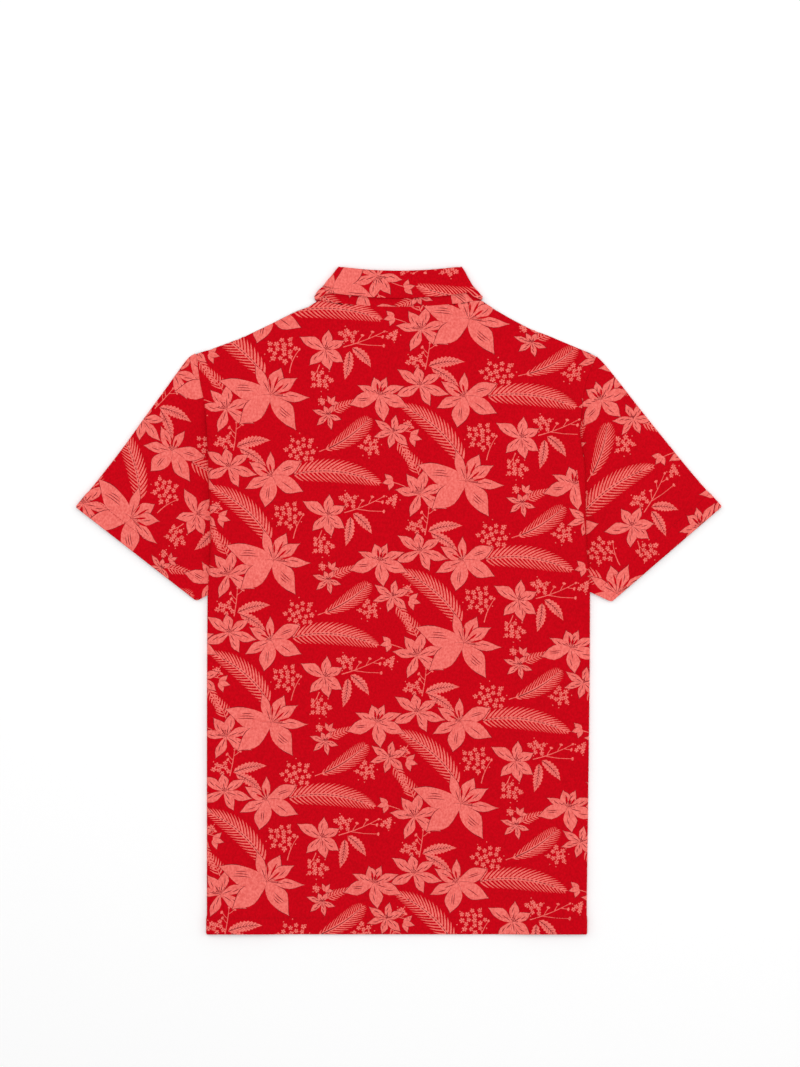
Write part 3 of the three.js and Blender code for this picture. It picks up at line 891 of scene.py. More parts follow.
def shoulderUp(sign, out):
    share = (out - body["neckHalf"]) / (edgeOut(sign, body["tipUp"]) - body["neckHalf"])
    return bySide(body["shoulder"], sign, share)


def backNeck(out):
    return body["backNeckUp"] + (body["neckPointUp"] - body["backNeckUp"]) * (out / body["neckHalf"]) ** 2


def frontNeck(out):
    half = body["placketWidth"] / 2
    share = np.clip((out - half) / (body["neckHalf"] - half), 0, 1)
    return body["frontNeckUp"] + (body["neckPointUp"] - body["frontNeckUp"]) * share


def placketZone(out, up):
    foot = body["frontNeckUp"] - body["placketLength"]
    below, above = body["placketRamp"]["up"]
    return (1 - smooth(*body["placketRamp"]["out"], out)) * smooth(foot - below, foot + above, up)


def frontBed(sign, out, up):
    # how high the front lies: over the tucks and sleeves at the sides, the collar leaves and the buttons
    inner = edgeOut(sign, up) - body["tuck"] * smooth(body["diveUp"], 405, up)
    start, end = body["tuckRamp"]
    side = 2 * cloth["pitch"] * smooth(inner - start, inner - end, out)  # two layers of tuck or sleeve
    side = side * (1 - smooth(body["diveUp"] + 8, body["riseUp"], up))
    side = side + body["hemLift"] * (1 - smooth(body["hem"] + 2, body["hem"] + 16, up))
    start, end = body["leafRamp"]["up"]
    leaf = cloth["pitch"] * smooth(body["leafUp"] - start, body["leafUp"] - end, up)
    leaf = leaf * (1 - smooth(*body["leafRamp"]["out"], out))
    return np.maximum(np.maximum(side, leaf), body["placketLift"] * placketZone(out, up))


def loftAt(up):
    return body["loft"] * smooth(*body["loftGrows"], up) * (1 - smooth(*body["loftEnds"], up))


def sideLoft(sign, out, up):
    # the back's edge stands up a little where the sleeve runs in beneath it
    edge = edgeOut(sign, up)
    start, end = body["loftRamp"]
    return loftAt(up) * smooth(edge - start, edge - end, out)


def backBed(sign, out, up):
    # how high the back lies: over the front, the doubled placket and, by the shoulder, the armhole seam
    neck = body["frontNeckUp"]
    doubled = cloth["pitch"] * placketZone(out, up) * (1 - smooth(neck, neck + 50, up))
    edge, ramp = edgeOut(sign, up), body["armholeRamp"]
    seam = body["armholeSeam"] * smooth(edge - ramp["out"][0], edge - ramp["out"][1], out)
    seam = seam * smooth(*ramp["up"], up)
    return frontBed(sign, out, up) + cloth["pitch"] + doubled + seam


def foldOf(up, radius):
    # Radius of the rolled edge, and how far round it the cloth goes: over the sleeve it rolls down
    # from its loft until it meets the sleeve.
    over = body["rollTurn"]
    free = (cloth["pitch"] + loftAt(up)) / (1 - math.cos(over))
    last = body["shoulderRoll"]
    closing = smooth(*body["rollEnds"], up)
    roll = radius + (free - radius) * smooth(*body["rollGrows"], up) + (last["radius"] - free) * closing
    turn = math.pi - (math.pi - over) * smooth(*body["tuckEnds"], up) - (over - last["turn"]) * closing
    return roll, turn


def foldLine(sign, up):
    return edgeOut(sign, up) - foldOf(up, cloth["outerFold"])[0] - cloth["thickness"] / 2


def backSpot(flat):
    up = flat[:, 1]
    sign = np.where(flat[:, 0] < 0, -1, 1)
    out = np.abs(flat[:, 0])
    roll, _ = foldOf(up, cloth["outerFold"])
    landsOut, angle, flatOut = rolledUnder(out, foldLine(sign, up), roll)
    z = backBed(sign, flatOut, up) + sideLoft(sign, flatOut, up) + cloth["thickness"] / 2
    z = z + creaseHeight(body["creases"], sign * flatOut, up) * (1 - smooth(0.3, 1.2, angle))
    # the back rolls down onto the shoulder seam, which the neck opening does not have, and at the hem
    seam = body["shoulderRound"]
    toSeam = np.where(out > body["neckHalf"], (shoulderUp(sign, out) - up) * seam["slope"], seam["reach"])
    z = z - seam["drop"] * rounded(toSeam, seam["reach"])
    z = z - body["hemRound"]["drop"] * (1 - smooth(0, body["hemRound"]["reach"], up)) * (angle < 0.01)
    return np.stack([sign * landsOut, up, z - roll * (1 - np.cos(angle))], 1)


def hemSwell(flat):
    return hemBand(flat[:, 1], body["hem"], body["hemSwell"], 2.6)


def frontSpot(flat):
    up = flat[:, 1]
    sign = np.where(flat[:, 0] < 0, 1, -1)  # its right side faces down, so x runs the other way
    out = np.abs(flat[:, 0])
    radius = cloth["innerFold"]
    landsOut, angle, flatOut = rolledUnder(out, foldLine(sign, up), radius)
    lofted = frontBed(sign, flatOut, up) + body["frontLoft"] * sideLoft(sign, flatOut, up)
    z = lofted + cloth["thickness"] / 2
    return np.stack([sign * landsOut, up, z - radius * (1 - np.cos(angle))], 1)


def sideOutline(sign, radius, cutEdge):
    # the right-hand half of a panel's cut, from the hem up to the sleeve's tip
    reach = body["tuck"] - cloth["outerFold"] - cloth["thickness"] / 2
    tuckEnd = body["tuckEnds"][0]
    topUp = body["underarmUp"] + body["tuckSlant"] * reach
    lowUps = np.linspace(0, topUp, 40)
    tuckOut = [foldLine(sign, up) + math.pi * radius + reach for up in lowUps]
    path = list(zip(tuckOut, lowUps))
    for share in np.linspace(0.9, 0, 8):
        up = tuckEnd + (topUp - tuckEnd) * share
        path.append((foldLine(sign, up) + math.pi * radius + reach * share, up))
    tip = shoulderUp(sign, edgeOut(sign, body["tipUp"]))
    for up in [*np.linspace(369, 384, 5), *np.linspace(391, tip, 36)]:
        path.append((cutEdge(sign, up), up))
    return np.array(path, float)


def backCut(sign, up):
    roll, turn = foldOf(up, cloth["outerFold"])
    return foldLine(sign, up) + roll * turn


def frontCut(sign, up):
    # the front stops short of the back's rolled edge above the tuck
    share = smooth(*body["tuckEnds"], up)
    tucked = (math.pi * cloth["innerFold"]) * (1 - share)
    return foldLine(sign, up) + tucked - 0.4 * share - smooth(530, 560, up)


def panelOutline(radius, cutEdge, flip, slit):
    # the whole cut, round from the hem's right end; flip is -1 for a panel that lies face down
    right = sideOutline(1 * flip, radius, cutEdge)
    left = sideOutline(-1 * flip, radius, cutEdge)
    shares = np.linspace(0, 1, 14)[1:]

    def shoulderOf(sign, path):
        start = path[-1]
        outs = start[0] + (body["neckHalf"] - start[0]) * shares
        return np.stack([outs, [float(shoulderUp(sign, out)) for out in outs]], 1)

    half = body["placketWidth"] / 2
    if slit:
        ups = np.linspace(body["neckPointUp"], body["frontNeckUp"], 8)[1:] - cloth["gap"] / 2
        outs = np.linspace(body["neckHalf"], half, 8)[1:]
        foot = body["frontNeckUp"] - body["placketLength"]
        neckRight = np.concatenate([np.stack([outs, ups], 1), [[half, foot + 75], [half, foot]]])
        neckLeft = neckRight[::-1] * [-1, 1]
    else:
        outs = np.linspace(body["neckHalf"], -body["neckHalf"], 25)[1:-1]
        neckRight = np.stack([outs, backNeck(np.abs(outs)) - cloth["gap"] / 2], 1)
        neckLeft = np.zeros((0, 2))
    shoulderLeft = (shoulderOf(-1 * flip, left) * [-1, 1])[::-1]
    hem = np.stack([np.linspace(-left[0][0], right[0][0], 60)[1:-1], np.zeros(58)], 1)
    return np.concatenate([right, shoulderOf(1 * flip, right), neckRight, neckLeft, shoulderLeft,
                           (left * [-1, 1])[::-1], hem])


def panelGuides(radius, cutEdge, flip):
    # lines that the mesh follows: round the side folds, down the rolled edges, along the hem's stitching
    guides = []
    for way in (-1, 1):
        sign = way * flip
        tip = float(shoulderUp(sign, edgeOut(sign, body["tipUp"])))
        for step in range(9):
            ups = np.linspace(0, 384, 40)
            guides.append(np.stack([way * (foldLine(sign, ups) + step / 8 * math.pi * radius), ups], 1))
        for share in np.linspace(0, 0.88, 8):
            ups = np.linspace(390, tip - 0.5, 28)
            line = foldLine(sign, ups)
            outs = line + share * np.maximum(cutEdge(sign, ups) - line, 0)
            guides.append(np.stack([way * outs, ups], 1))
    hemReach = 262.0
    for up in (0.35, 0.8, 1.4, 16.2, 17.4, 18.0, 18.5, 19.0, 19.8, 21.2):
        guides.append(np.stack([np.linspace(-hemReach, hemReach, 62), np.full(62, up)], 1))
    return guides


def shoulderGuides():
    guides = []
    for way in (-1, 1):
        outs = np.linspace(body["neckHalf"] + 1, float(edgeOut(way, 640.0)) - 6, 22)
        for drop in (0.4, 1.0, 1.8):
            guides.append(np.stack([way * outs, shoulderUp(way, outs) - drop], 1))
    return guides


backPlace = {**body["place"], "plain": body["plain"]}
backOutline = panelOutline(cloth["outerFold"], backCut, 1, False)
backGuides = panelGuides(cloth["outerFold"], backCut, 1) + shoulderGuides()
back = printedCloth("back", backOutline, backGuides, backSpot, backPlace, 9.0, hemSwell)
frontOutline = panelOutline(cloth["innerFold"], frontCut, -1, True)
frontGuides = panelGuides(cloth["innerFold"], frontCut, -1)
front = printedCloth("front", frontOutline, frontGuides, frontSpot, body["place"], 12.0, hemSwell)
print("back and front made")

# sleeves: each is one piece, folded along its top and joined under the arm

sleeve = {
    "hemTop": {-1: (361.0, 477.5), 1: (361.0, 478.5)},
    "hemUnder": {-1: (226.0, 372.5), 1: (237.0, 371.5)},
    "inner": (164.0, 405.0),  # the underarm point, under the body
    "underlap": 3.0,  # how far it runs in under the body's edge above the dive
    "fold": {"shoulder": 0.65, "hem": 1.5, "grows": (20, 130)},  # radius of its folded top
    "crown": {-1: 8.5, 1: 6.0},  # air between its two layers
    "crownRamp": {"seam": 30, "fold": 40, "hem": 60},  # how far from each edge it is full
    "rise": {-1: 46, 1: 54},  # how far from the body's edge it takes to rise to that
    # share of the way down from the shoulder, how far the top edge swells out on the left and right
    "head": [
        (0.0, 1.5, 0.6), (0.04, 4.3, 1.6), (0.13, 3.9, 1.4), (0.26, 2.6, 0.4), (0.4, 1.6, -0.7),
        (0.6, -0.4, -1.7), (0.8, -0.8, -2.2), (1.0, -0.3, -1.2),
    ],
    "hem": 20.0,
    "hemSwell": 0.7,
    "seamRound": {"reach": 1.6, "drop": 1.0},
    "hemRound": {"reach": 1.4, "drop": 0.5},
    "blunt": 2.2,  # how far the corner under the arm is cut back
    "place": {
        -1: {
            "turn": -35.05, "at": (-252.6, 517.0), "anchor": (10.0, 72.3),
            "pulls": [(-310, 480, 50, 60, 6, 2)],
        },
        1: {
            "turn": 38.45, "at": (246.6, 497.3), "anchor": (72.5, 86.8),
            "pulls": [(236, 455, 40, 65, 0, -3.5)],
        },
    },
    # out, up, angle, length, width, height, bow
    "creases": {
        -1: [
            (255, 470, 118, 60, 14, 1.3, 5), (282, 492, 128, 46, 12, -0.8, -4),
            (242, 560, 64, 60, 20, 1.0, 6), (300, 520, 130, 60, 22, 0.8, 5),
        ],
        1: [
            (258, 462, 120, 56, 14, 1.4, -5), (286, 500, 132, 50, 13, -0.8, 5),
            (240, 566, 60, 56, 18, 1.0, -5), (310, 505, 126, 54, 20, 0.9, -4),
        ],
    },
}


class SleeveCut:
    # Where one sleeve's flat piece goes: its upper layer keeps its place in plan, and the lower one
    # is unfolded about the top edge. Inside, a runs along that edge from the shoulder and b across it.
    def __init__(self, sign):
        self.sign = sign
        tipUp = float(shoulderUp(sign, edgeOut(sign, body["tipUp"])))
        self.start = np.array([float(edgeOut(sign, tipUp)) + cloth["gap"] / 2, tipUp])
        run = np.array(sleeve["hemTop"][sign]) - self.start
        self.length = np.linalg.norm(run)
        self.along = run / self.length
        self.outward = np.array([-self.along[1], self.along[0]])
        under = np.array(sleeve["hemUnder"][sign])
        self.hemWay = unit(under - sleeve["hemTop"][sign])
        self.seamWay = unit(under - sleeve["inner"])

    def radius(self, a):
        tight, wide = sleeve["fold"]["shoulder"], sleeve["fold"]["hem"]
        return tight + (wide - tight) * smooth(*sleeve["fold"]["grows"], a)

    def swell(self, a):
        return bySide(sleeve["head"], self.sign, a / self.length)

    def planAt(self, a, b):
        return self.start + a[:, None] * self.along - b[:, None] * self.outward

    def parts(self, plan):
        rel = plan - self.start
        return rel @ self.along, -(rel @ self.outward)

    def flatOf(self, plan, ply):
        # the flat place of a plan point on the upper (1) or lower (-1) layer
        a, b = self.parts(plan)
        r = self.radius(a)
        inset = np.maximum(b - cloth["thickness"] / 2 + self.swell(a), 0)
        arc = r * np.arccos(np.clip(1 - inset / r, -1, 1))
        w = ply * np.where(inset < r, arc, inset - r + math.pi * r / 2)
        return self.planAt(a, w - (math.pi / 2 - 1) * r + cloth["thickness"] / 2 - self.swell(a))

    def spot(self, flat):
        plan = flat * [self.sign, 1]
        a, b = self.parts(plan)
        r = self.radius(a)
        w = b + (math.pi / 2 - 1) * r - cloth["thickness"] / 2 + self.swell(a)
        past = np.abs(w) - math.pi * r / 2
        angle = np.clip(w / r, -math.pi / 2, math.pi / 2)
        inset = np.where(past > 0, r + past, r * (1 - np.cos(angle)))
        plan = self.planAt(a, cloth["thickness"] / 2 - self.swell(a) + inset)
        toHem, toSeam = self.toHem(plan), self.toSeam(plan)
        z = cloth["thickness"] / 2 + r * (1 + np.sin(angle))
        z = z + body["hemLift"] * (1 - smooth(sleeve["hem"] + 2, sleeve["hem"] + 14, np.abs(toHem)))
        # upper is 1 on the top layer, free is 1 where the body's edge no longer holds it down
        upper = np.clip(np.maximum(w, 0) / 6, 0, 1)
        beyond = plan[:, 0] - edgeOut(self.sign, plan[:, 1])
        free = smooth(-2, sleeve["rise"][self.sign], beyond)
        ramp = sleeve["crownRamp"]
        flatter = smooth(0, ramp["fold"], w) * smooth(-4, ramp["hem"], np.abs(toHem))
        crown = smooth(0, ramp["seam"], toSeam) * sleeve["crown"][self.sign] * flatter
        z = z - 2 * (r - sleeve["fold"]["shoulder"]) * (1 - free) * upper
        z = z + upper * free * crown
        z = z + upper * free * creaseHeight(sleeve["creases"][self.sign], plan[:, 0], plan[:, 1])
        seamRound, hemRound = sleeve["seamRound"], sleeve["hemRound"]
        z = z - upper * free * seamRound["drop"] * rounded(toSeam, seamRound["reach"])
        z = z - upper * hemRound["drop"] * rounded(toHem, hemRound["reach"])
        return np.stack([self.sign * plan[:, 0], plan[:, 1], z], 1)

    def toHem(self, plan):
        rel = plan - np.array(sleeve["hemTop"][self.sign])
        return rel[:, 0] * self.hemWay[1] - rel[:, 1] * self.hemWay[0]

    def toSeam(self, plan):
        rel = plan - np.array(sleeve["hemUnder"][self.sign])
        return np.abs(rel[:, 0] * self.seamWay[1] - rel[:, 1] * self.seamWay[0])

    def hemSwell(self, flat):
        toHem = np.abs(self.toHem(self.spot(flat)[:, :2] * [self.sign, 1]))
        return hemBand(toHem, sleeve["hem"], sleeve["hemSwell"], 2.4)

    def hemRow(self, distance, count):
        # a line along the hem on both layers, from the underarm over the top and back
        top = np.array(sleeve["hemTop"][self.sign])
        width = np.linalg.norm(np.array(sleeve["hemUnder"][self.sign]) - top)
        inward = -self.along
        start = top + inward * distance / abs(np.dot(inward, [self.hemWay[1], -self.hemWay[0]]))
        run = np.linspace(width * 0.985, 0.0, count)
        plan = start + run[:, None] * self.hemWay
        return np.concatenate([self.flatOf(plan, 1), self.flatOf(plan[::-1][1:], -1)]) * [self.sign, 1]

    def outline(self):
        # down the armhole seam, in under the body, along the seam under the arm and up the hem
        tipUp = self.start[1]
        path = []
        for up in np.linspace(tipUp, body["diveUp"], 14):
            lap = sleeve["underlap"] * smooth(tipUp, tipUp - 14, up)
            path.append((float(edgeOut(self.sign, up)) + cloth["gap"] / 2 - lap, up))
        for up in np.linspace(body["diveUp"], sleeve["inner"][1], 15)[1:]:
            seam = float(edgeOut(self.sign, up)) + cloth["gap"] / 2 - sleeve["underlap"]
            dive = smooth(body["diveUp"], sleeve["inner"][1], up)
            path.append((seam + (sleeve["inner"][0] - seam) * dive, up))
        under = np.array(sleeve["hemUnder"][self.sign])
        for share in np.linspace(0, 1, 9)[1:-1]:
            path.append(tuple(np.array(sleeve["inner"]) * (1 - share) + under * share))
        blunt = sleeve["blunt"]
        path.append(tuple(under - self.seamWay * blunt))
        path.append(tuple(under - (self.seamWay + self.hemWay) * blunt * 0.3))
        path.append(tuple(under - self.hemWay * blunt))
        top = np.array(sleeve["hemTop"][self.sign])
        for share in np.linspace(0, 1, 22)[1:]:
            path.append(tuple(under * (1 - share) + top * share))
        path = np.array(path)
        upper, lower = self.flatOf(path, 1), self.flatOf(path, -1)
        ring = np.concatenate([upper, lower[-2:0:-1]]) * [self.sign, 1]
        x, y = ring[:, 0], ring[:, 1]
        turnsLeft = np.sum(x * np.roll(y, -1) - y * np.roll(x, -1)) > 0
        return ring if turnsLeft else ring[::-1]

    def guides(self):
        lines = []
        a = np.linspace(-4, self.length + 4, 30)
        for step in np.linspace(-1, 1, 9):
            w = step * math.pi / 2 * self.radius(a)
            b = w - (math.pi / 2 - 1) * self.radius(a) + cloth["thickness"] / 2 - self.swell(a)
            lines.append(self.planAt(a, b) * [self.sign, 1])
        for distance in (0.5, 1.0, 1.6, 17.6, 19.0, 19.6, 20.0, 20.4, 21.2, 22.6):
            lines.append(self.hemRow(distance, 20))
        return lines


sleeveCuts = {name: SleeveCut(sign) for name, sign in (("left", -1), ("right", 1))}
sleeves = {}
for name, cut in sleeveCuts.items():
    sleeves[name] = printedCloth(name + "Sleeve", cut.outline(), cut.guides(), cut.spot,
                                 sleeve["place"][cut.sign], 7.0, cut.hemSwell)
print("sleeves made")

# collar: the fall is folded over the stand along the roll, and both turn under at the ends

collar = {
    "rollUp": 741.2,  # top at the centre back
    "rollHalf": 68.3,
    "rollRise": 4.6,
    "edgeUp": 710.6,  # lower edge of the fall at the centre back
    "edgeRise": 8.4,  # that edge's rise toward the ends
    "foldEnd": 1.9,  # the end folds run down to that far above it
    "depth": 27,  # of the fall
    "frontRollUp": 665.0,
    "frontBow": 1.15,
    "leafPoint": (34.0, 596.0),
    "leafBow": 6,  # how far the leaf's front edge bows, and which way
    "leafBowWay": (0.9, -0.4),
    "roll": {"back": 1.35, "front": 0.65},  # radius of the rolled top
    "corner": 1.0,  # how far each top corner is rounded off
    "cornerWay": (0.46, 0.89),
    "cornerReach": 3.6,
    "frontLean": (0.766, 0.357),  # how far the roll's own way turns in and down at the front
    "endUp": 708.8,  # how low the fall's ends reach
    "lift": 1.8,  # the fall's edge stands off the body
    # height, how far each end is drawn in on the left and on the right
    "ends": [
        (700, -0.5, -0.3), (706, -1.6, -0.8), (708.5, -1.3, -0.4), (710.5, 0.3, 1.4),
        (712.7, 1.9, 3.4), (715, 1.3, 3.7), (718, 0.7, 3.6), (724, 2.5, 4.8),
        (731, 2.2, 3.2), (738, 2.4, 1.1), (744, 1.6, -0.7), (750, 1.2, -1.2),
    ],
    "underlap": 2.0,  # the stand's seam, under the back's edge
    "standHalf": 93.0,  # its half width there, a little past the neck points
    "fall": {"turn": 178.95, "at": (0.8, 727.4), "anchor": (-77.8, -8.7)},
    "stand": {"turn": 180.95, "at": (1.1, 708.0), "anchor": (80.1, -19.3)},
}


class CollarCut:
    # Flat places are those of the back half in plan; the front halves are unfolded about the end folds.
    def __init__(self, radius):
        inset = cloth["innerFold"] + cloth["thickness"] / 2
        self.radius = radius
        self.rollHalf = collar["rollHalf"] - inset
        self.rollUp = collar["rollUp"] - inset
        self.corner = np.array([self.rollHalf, self.rollUp + collar["rollRise"]])
        low = np.array([body["neckHalf"], collar["edgeUp"] + collar["foldEnd"]])
        self.way = unit(low - self.corner)
        self.normal = np.array([-self.way[1], self.way[0]])
        self.wrap = math.pi * radius
        outs = np.linspace(0, self.rollHalf, 16)
        ups = self.rollUp + collar["rollRise"] * (outs / self.rollHalf) ** 2
        back = np.stack([outs, ups], 1)
        outs = np.linspace(self.rollHalf, cloth["gap"], 14)
        drop = self.corner[1] - collar["frontRollUp"]
        ups = collar["frontRollUp"] + drop * (outs / self.rollHalf) ** collar["frontBow"]
        self.rollLine = np.concatenate([back, self.unfold(np.stack([outs, ups], 1))])

    def unfold(self, plan):
        rel = plan - self.corner
        along = rel @ self.way
        beyond = rel @ self.normal
        return self.corner + along[:, None] * self.way + (self.wrap - beyond)[:, None] * self.normal

    def rollAt(self, out):
        # height of the roll line, and the cosine of its slope there
        slope = np.gradient(self.rollLine[:, 1]) / np.gradient(self.rollLine[:, 0])
        lean = np.interp(out, self.rollLine[:, 0], slope)
        return np.interp(out, self.rollLine[:, 0], self.rollLine[:, 1]), 1 / np.sqrt(1 + lean ** 2)

    def aroundEnd(self, flat):
        # the foot of a point on the end fold's line, and how far round the fold it is
        rel = flat - self.corner
        beyond = rel @ self.normal
        angle = np.clip(beyond / self.radius, 0, math.pi)
        rest = np.maximum(beyond - self.wrap, 0)
        foot = flat - np.maximum(beyond, 0)[:, None] * self.normal
        return foot - rest[:, None] * self.normal, angle

    def drawnIn(self, plan, sign):
        # the ends are not quite straight: every layer there is drawn in alike
        near = np.exp(-(((plan - self.corner) @ self.normal) / 16) ** 2)
        return sign * (plan[:, 0] - near * bySide(collar["ends"], sign, plan[:, 1])), plan[:, 1]


class FallCut(CollarCut):
    def roll(self, angle):
        share = (1 + np.cos(angle)) / 2
        return collar["roll"]["front"] + (collar["roll"]["back"] - collar["roll"]["front"]) * share

    def spot(self, flat):
        sign = np.where(flat[:, 0] < 0, -1, 1)
        out = np.abs(flat[:, 0])
        rollUp, level = self.rollAt(out)
        past = np.maximum((flat[:, 1] - rollUp) * level, 0)
        plan, angle = self.aroundEnd(np.stack([out, np.minimum(flat[:, 1], rollUp)], 1))
        roll = self.roll(angle)
        capAngle = np.minimum(past / roll, 1.2 * math.pi)
        below = np.maximum(rollUp - flat[:, 1], 0)
        share = (1 + np.cos(angle)) / 2
        puff = 2 * (roll - cloth["innerFold"]) * (1 - smooth(1, collar["depth"], below))
        lift = collar["lift"] * share * smooth(8, collar["depth"], below)
        radius = self.radius + puff - roll * (1 - np.cos(capAngle)) + lift
        turnOver = (1 - np.cos(angle)) / 2
        leanIn, leanDown = collar["frontLean"]
        leanWay = np.stack([-leanIn * turnOver, 1 - leanDown * turnOver], 1)
        seat = roll - cloth["innerFold"]
        ease = smooth(30, 0, below) * (1 - 0.8 * np.sin(angle) ** 2)
        plan = plan + ((roll * np.sin(capAngle) - seat) * ease)[:, None] * leanWay
        rel = flat * np.stack([sign, np.ones(len(sign))], 1) - self.corner
        toCorner = rel @ self.normal - self.wrap / 2
        dip = collar["corner"] * np.exp(-(toCorner / collar["cornerReach"]) ** 2) * smooth(12, 0, below)
        plan = plan - dip[:, None] * collar["cornerWay"]
        bulge = radius * np.sin(angle)
        plan = plan + bulge[:, None] * self.normal
        z = cloth["foldCentre"] + radius * np.cos(angle)
        return np.stack([*self.drawnIn(plan, sign), z], 1)

    def lowerEdge(self):
        s = np.linspace(0, 1, 22)
        rise = collar["edgeRise"]
        drop = collar["endUp"] - collar["edgeUp"] - rise
        ups = collar["edgeUp"] + rise * s * s + drop * smooth(0.86, 1, s)
        back = np.stack([body["neckHalf"] * s, ups], 1)
        s = np.linspace(0, 1, 12)[:, None]
        bow = collar["leafBow"] * np.sin(math.pi * s)
        start = np.array([body["neckHalf"], collar["endUp"]])
        front = start + (collar["leafPoint"] - start) * s + bow * collar["leafBowWay"]
        return np.concatenate([back, self.unfold(front)])

    def outline(self):
        # from the lower edge up to the roll line and half way round the roll
        low = self.lowerEdge()
        top = self.rollLine[::-1].copy()
        _, level = self.rollAt(top[:, 0])
        _, angle = self.aroundEnd(top)
        top[:, 1] += math.pi * self.roll(angle) / level
        return bothHalves(low, top)

    def guides(self):
        lines = []
        outs = np.linspace(0, self.rollLine[-1, 0], 60)
        rollUp, level = self.rollAt(outs)
        _, angle = self.aroundEnd(np.stack([outs, rollUp], 1))
        for step in np.linspace(0, 0.92, 7):
            lines.append(np.stack([outs, rollUp + step * math.pi * self.roll(angle) / level], 1))
        for drop in (3, 7, 12, 18):
            lines.append(np.stack([outs, rollUp - drop], 1))
        for beyond in np.linspace(0, self.wrap, 9):
            foot = self.corner + self.normal * beyond
            run = np.concatenate([np.linspace(-6, 9, 10), np.linspace(13, 46, 9)])
            lines.append(foot + run[:, None] * self.way)
        return lines + [line * [-1, 1] for line in lines]


class StandCut(CollarCut):
    def spot(self, flat):
        sign = np.where(flat[:, 0] < 0, -1, 1)
        plan, angle = self.aroundEnd(np.stack([np.abs(flat[:, 0]), flat[:, 1]], 1))
        plan = plan + (self.radius * np.sin(angle))[:, None] * self.normal
        z = cloth["foldCentre"] + self.radius * np.cos(angle)
        return np.stack([*self.drawnIn(plan, sign), z], 1)

    def outline(self):
        outs = np.linspace(0, collar["standHalf"], 24)
        lap = collar["underlap"] * (1 - smooth(70, 90, outs))
        low = np.stack([outs, backNeck(outs) + cloth["gap"] - lap], 1)
        outs = np.linspace(body["neckHalf"] - 1.5, cloth["gap"], 12)
        low = np.concatenate([low, self.unfold(np.stack([outs, frontNeck(outs) + cloth["gap"]], 1))[1:]])
        top = self.rollLine[::-1] - [0, 2 * cloth["gap"]]
        return bothHalves(low, top)

    def guides(self):
        lines = []
        for beyond in np.linspace(0, self.wrap, 7):
            foot = self.corner + self.normal * beyond
            lines.append(foot + np.linspace(0, 50, 14)[:, None] * self.way)
        return lines + [line * [-1, 1] for line in lines]


def bothHalves(low, top):
    # low runs out from the centre, top runs back in
    right = np.concatenate([low, top])
    left = (right * [-1, 1])[::-1]
    return np.concatenate([right, left[1:-1]])


fallCut = FallCut(cloth["outerFold"])
standCut = StandCut(cloth["innerFold"])
fallOutline, standOutline = fallCut.outline(), standCut.outline()
collarFall = printedCloth("collarFall", fallOutline, fallCut.guides(), fallCut.spot,
                          collar["fall"], 6.0)
collarStand = printedCloth("collarStand", standOutline, standCut.guides(), standCut.spot,
                           collar["stand"], 6.0)
print("collar made")

# placket: two plain strips down the front's slit, under everything

def placketSpot(lift):
    def spot(flat):
        out = np.abs(flat[:, 0])
        z = frontBed(-1, out, flat[:, 1]) + lift + cloth["thickness"] / 2
        return np.stack([-flat[:, 0], flat[:, 1], z], 1)
    return spot


def stripOutline():
    foot = body["frontNeckUp"] - body["placketLength"] + cloth["gap"]
    head = body["frontNeckUp"] - cloth["gap"] / 2
    half = body["placketWidth"] / 2 - cloth["gap"]
    ups = np.linspace(foot, head, 12)
    right, left = np.stack([np.full(12, half), ups], 1), np.stack([np.full(12, -half), ups[::-1]], 1)
    return np.concatenate([right, left])


placketOutline = stripOutline()
plackets = {}
for name, lift in (("Upper", 0.0), ("Lower", cloth["pitch"])):
    plackets[name.lower()] = printedCloth("placket" + name, placketOutline, [], placketSpot(lift),
                                          body["place"], 8.0)
print("placket made")

# hem stitching: one row of lockstitch, each stitch a small bead of thread

stitch = {"pitch": 3.0, "length": 2.3, "width": 0.55, "lift": 0.12, "reach": 205, "seed": 4}


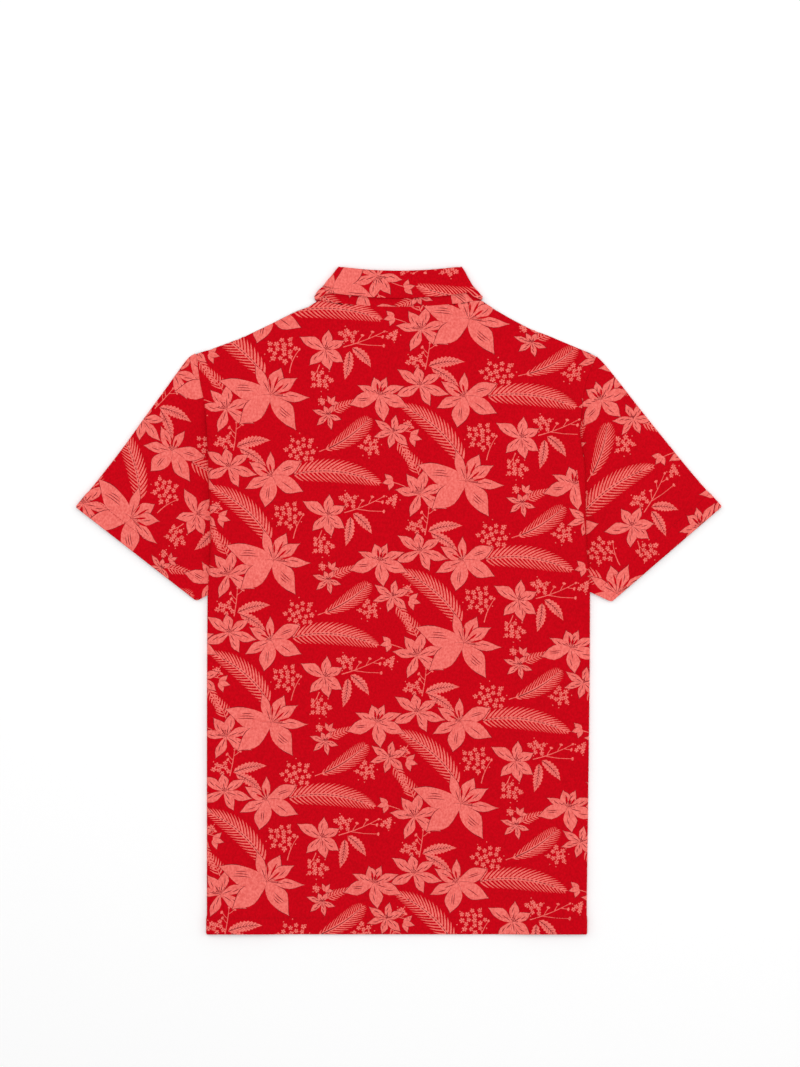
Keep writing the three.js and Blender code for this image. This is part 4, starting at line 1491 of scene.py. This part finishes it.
def stitchTree():
    tree = bpy.data.node_groups.new("stitches along a seam", "GeometryNodeTree")
    tree.interface.new_socket("Geometry", in_out="INPUT", socket_type="NodeSocketGeometry")
    for name in ("Pitch", "Length", "Width"):
        tree.interface.new_socket(name, in_out="INPUT", socket_type="NodeSocketFloat")
    tree.interface.new_socket("Seed", in_out="INPUT", socket_type="NodeSocketInt")
    tree.interface.new_socket("Geometry", in_out="OUTPUT", socket_type="NodeSocketGeometry")
    entry = addNode(tree, "NodeGroupInput")
    curve = addNode(tree, "GeometryNodeMeshToCurve", {}, [("Mesh", entry, "Geometry")])
    points = addNode(tree, "GeometryNodeResampleCurve", {"mode": "LENGTH"},
                     [("Curve", curve, "Curve"), ("Length", entry, "Pitch")])
    bead = addNode(tree, "GeometryNodeMeshUVSphere", {"Segments": 8, "Rings": 5, "Radius": 0.5})
    tangent = addNode(tree, "GeometryNodeInputTangent")
    turn = addNode(tree, "FunctionNodeAlignRotationToVector", {"axis": "X"},
                   [("Vector", tangent, "Tangent")])
    uneven = addNode(tree, "FunctionNodeRandomValue", {"data_type": "FLOAT", 2: 0.86, 3: 1.1},
                     [("Seed", entry, "Seed")])
    long = addNode(tree, "ShaderNodeMath", {"operation": "MULTIPLY"},
                   [(0, entry, "Length"), (1, uneven, 1)])
    size = addNode(tree, "ShaderNodeCombineXYZ", {},
                   [("X", long, "Value"), ("Y", entry, "Width"), ("Z", entry, "Width")])
    laid = addNode(tree, "GeometryNodeInstanceOnPoints", {},
                   [("Points", points, "Curve"), ("Instance", bead, "Mesh"), ("Rotation", turn, "Rotation"),
                    ("Scale", size, "Vector")])
    real = addNode(tree, "GeometryNodeRealizeInstances", {}, [("Geometry", laid, "Instances")])
    done = addNode(tree, "GeometryNodeSetMaterial", {"Material": thread}, [("Geometry", real, "Geometry")])
    addNode(tree, "NodeGroupOutput", {}, [("Geometry", done, "Geometry")])
    return tree


stitches = stitchTree()


def sewnRow(name, spot, swell, flat):
    # a row of stitches along flat places, lying on the right side of the cloth
    points, normals = frameOf(spot, flat)
    lift = cloth["thickness"] / 2 + swell(flat)[:, None] + stitch["lift"]
    path = (points + normals * lift + [0, hemLine, 0]) * mm
    line = bpy.data.meshes.new(name)
    line.from_pydata(path.tolist(), [(k, k + 1) for k in range(len(path) - 1)], [])
    maker = bpy.data.objects.new(name, line)
    bpy.context.collection.objects.link(maker)
    modifier = maker.modifiers.new("stitches", "NODES")
    modifier.node_group = stitches
    sizes = {part.capitalize(): stitch[part] * mm for part in ("pitch", "length", "width")}
    sizes["Seed"] = stitch["seed"]
    for item in stitches.interface.items_tree:
        if item.in_out == "INPUT" and item.name in sizes:
            modifier[item.identifier] = sizes[item.name]
    evaluated = maker.evaluated_get(bpy.context.evaluated_depsgraph_get())
    mesh = bpy.data.meshes.new_from_object(evaluated)
    mesh.polygons.foreach_set("use_smooth", np.ones(len(mesh.polygons), dtype=bool))
    bpy.data.objects.remove(maker)
    piece = bpy.data.objects.new(name, mesh)
    bpy.context.collection.objects.link(piece)
    return piece


hemFlat = np.stack([np.linspace(-stitch["reach"], stitch["reach"], 90), np.full(90, body["hem"])], 1)
rows = {
    "back": sewnRow("backHemStitches", backSpot, hemSwell, hemFlat),
    "front": sewnRow("frontHemStitches", frontSpot, hemSwell, hemFlat),
}
for name, cut in sleeveCuts.items():
    hemLineFlat = cut.hemRow(sleeve["hem"], 40)
    rows[name] = sewnRow(name + "SleeveHemStitches", cut.spot, cut.hemSwell, hemLineFlat)
print("hems sewn")

buttonResin = resinMaterial()
for name in ("button_top", "button_middle", "button_bottom"):
    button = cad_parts[name]
    button.data.materials.clear()
    button.data.materials.append(buttonResin)

# what each piece stands for

def areaOf(outline):
    x, y = outline[:, 0], outline[:, 1]
    return abs(np.sum(x * np.roll(y, -1) - y * np.roll(x, -1))) / 2 * mm * mm


def sewOn(piece, node, outline, stitching=()):
    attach(piece, "root")
    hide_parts(node)
    for row in stitching:
        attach(row, "root")
    float(areaOf(outline))


sewOn(back, "back_panel", backOutline, [rows["back"]])
sewOn(front, "front_panel", frontOutline,
      [rows["front"]])
for name, cut in sleeveCuts.items():
    sewOn(sleeves[name], name + "_sleeve", cut.outline(),
          [rows[name]])
sewOn(collarFall, "collar_fall", fallOutline)
sewOn(collarStand, "collar_stand", standOutline)
for name, strip in plackets.items():
    sewOn(strip, "placket_" + name, placketOutline)
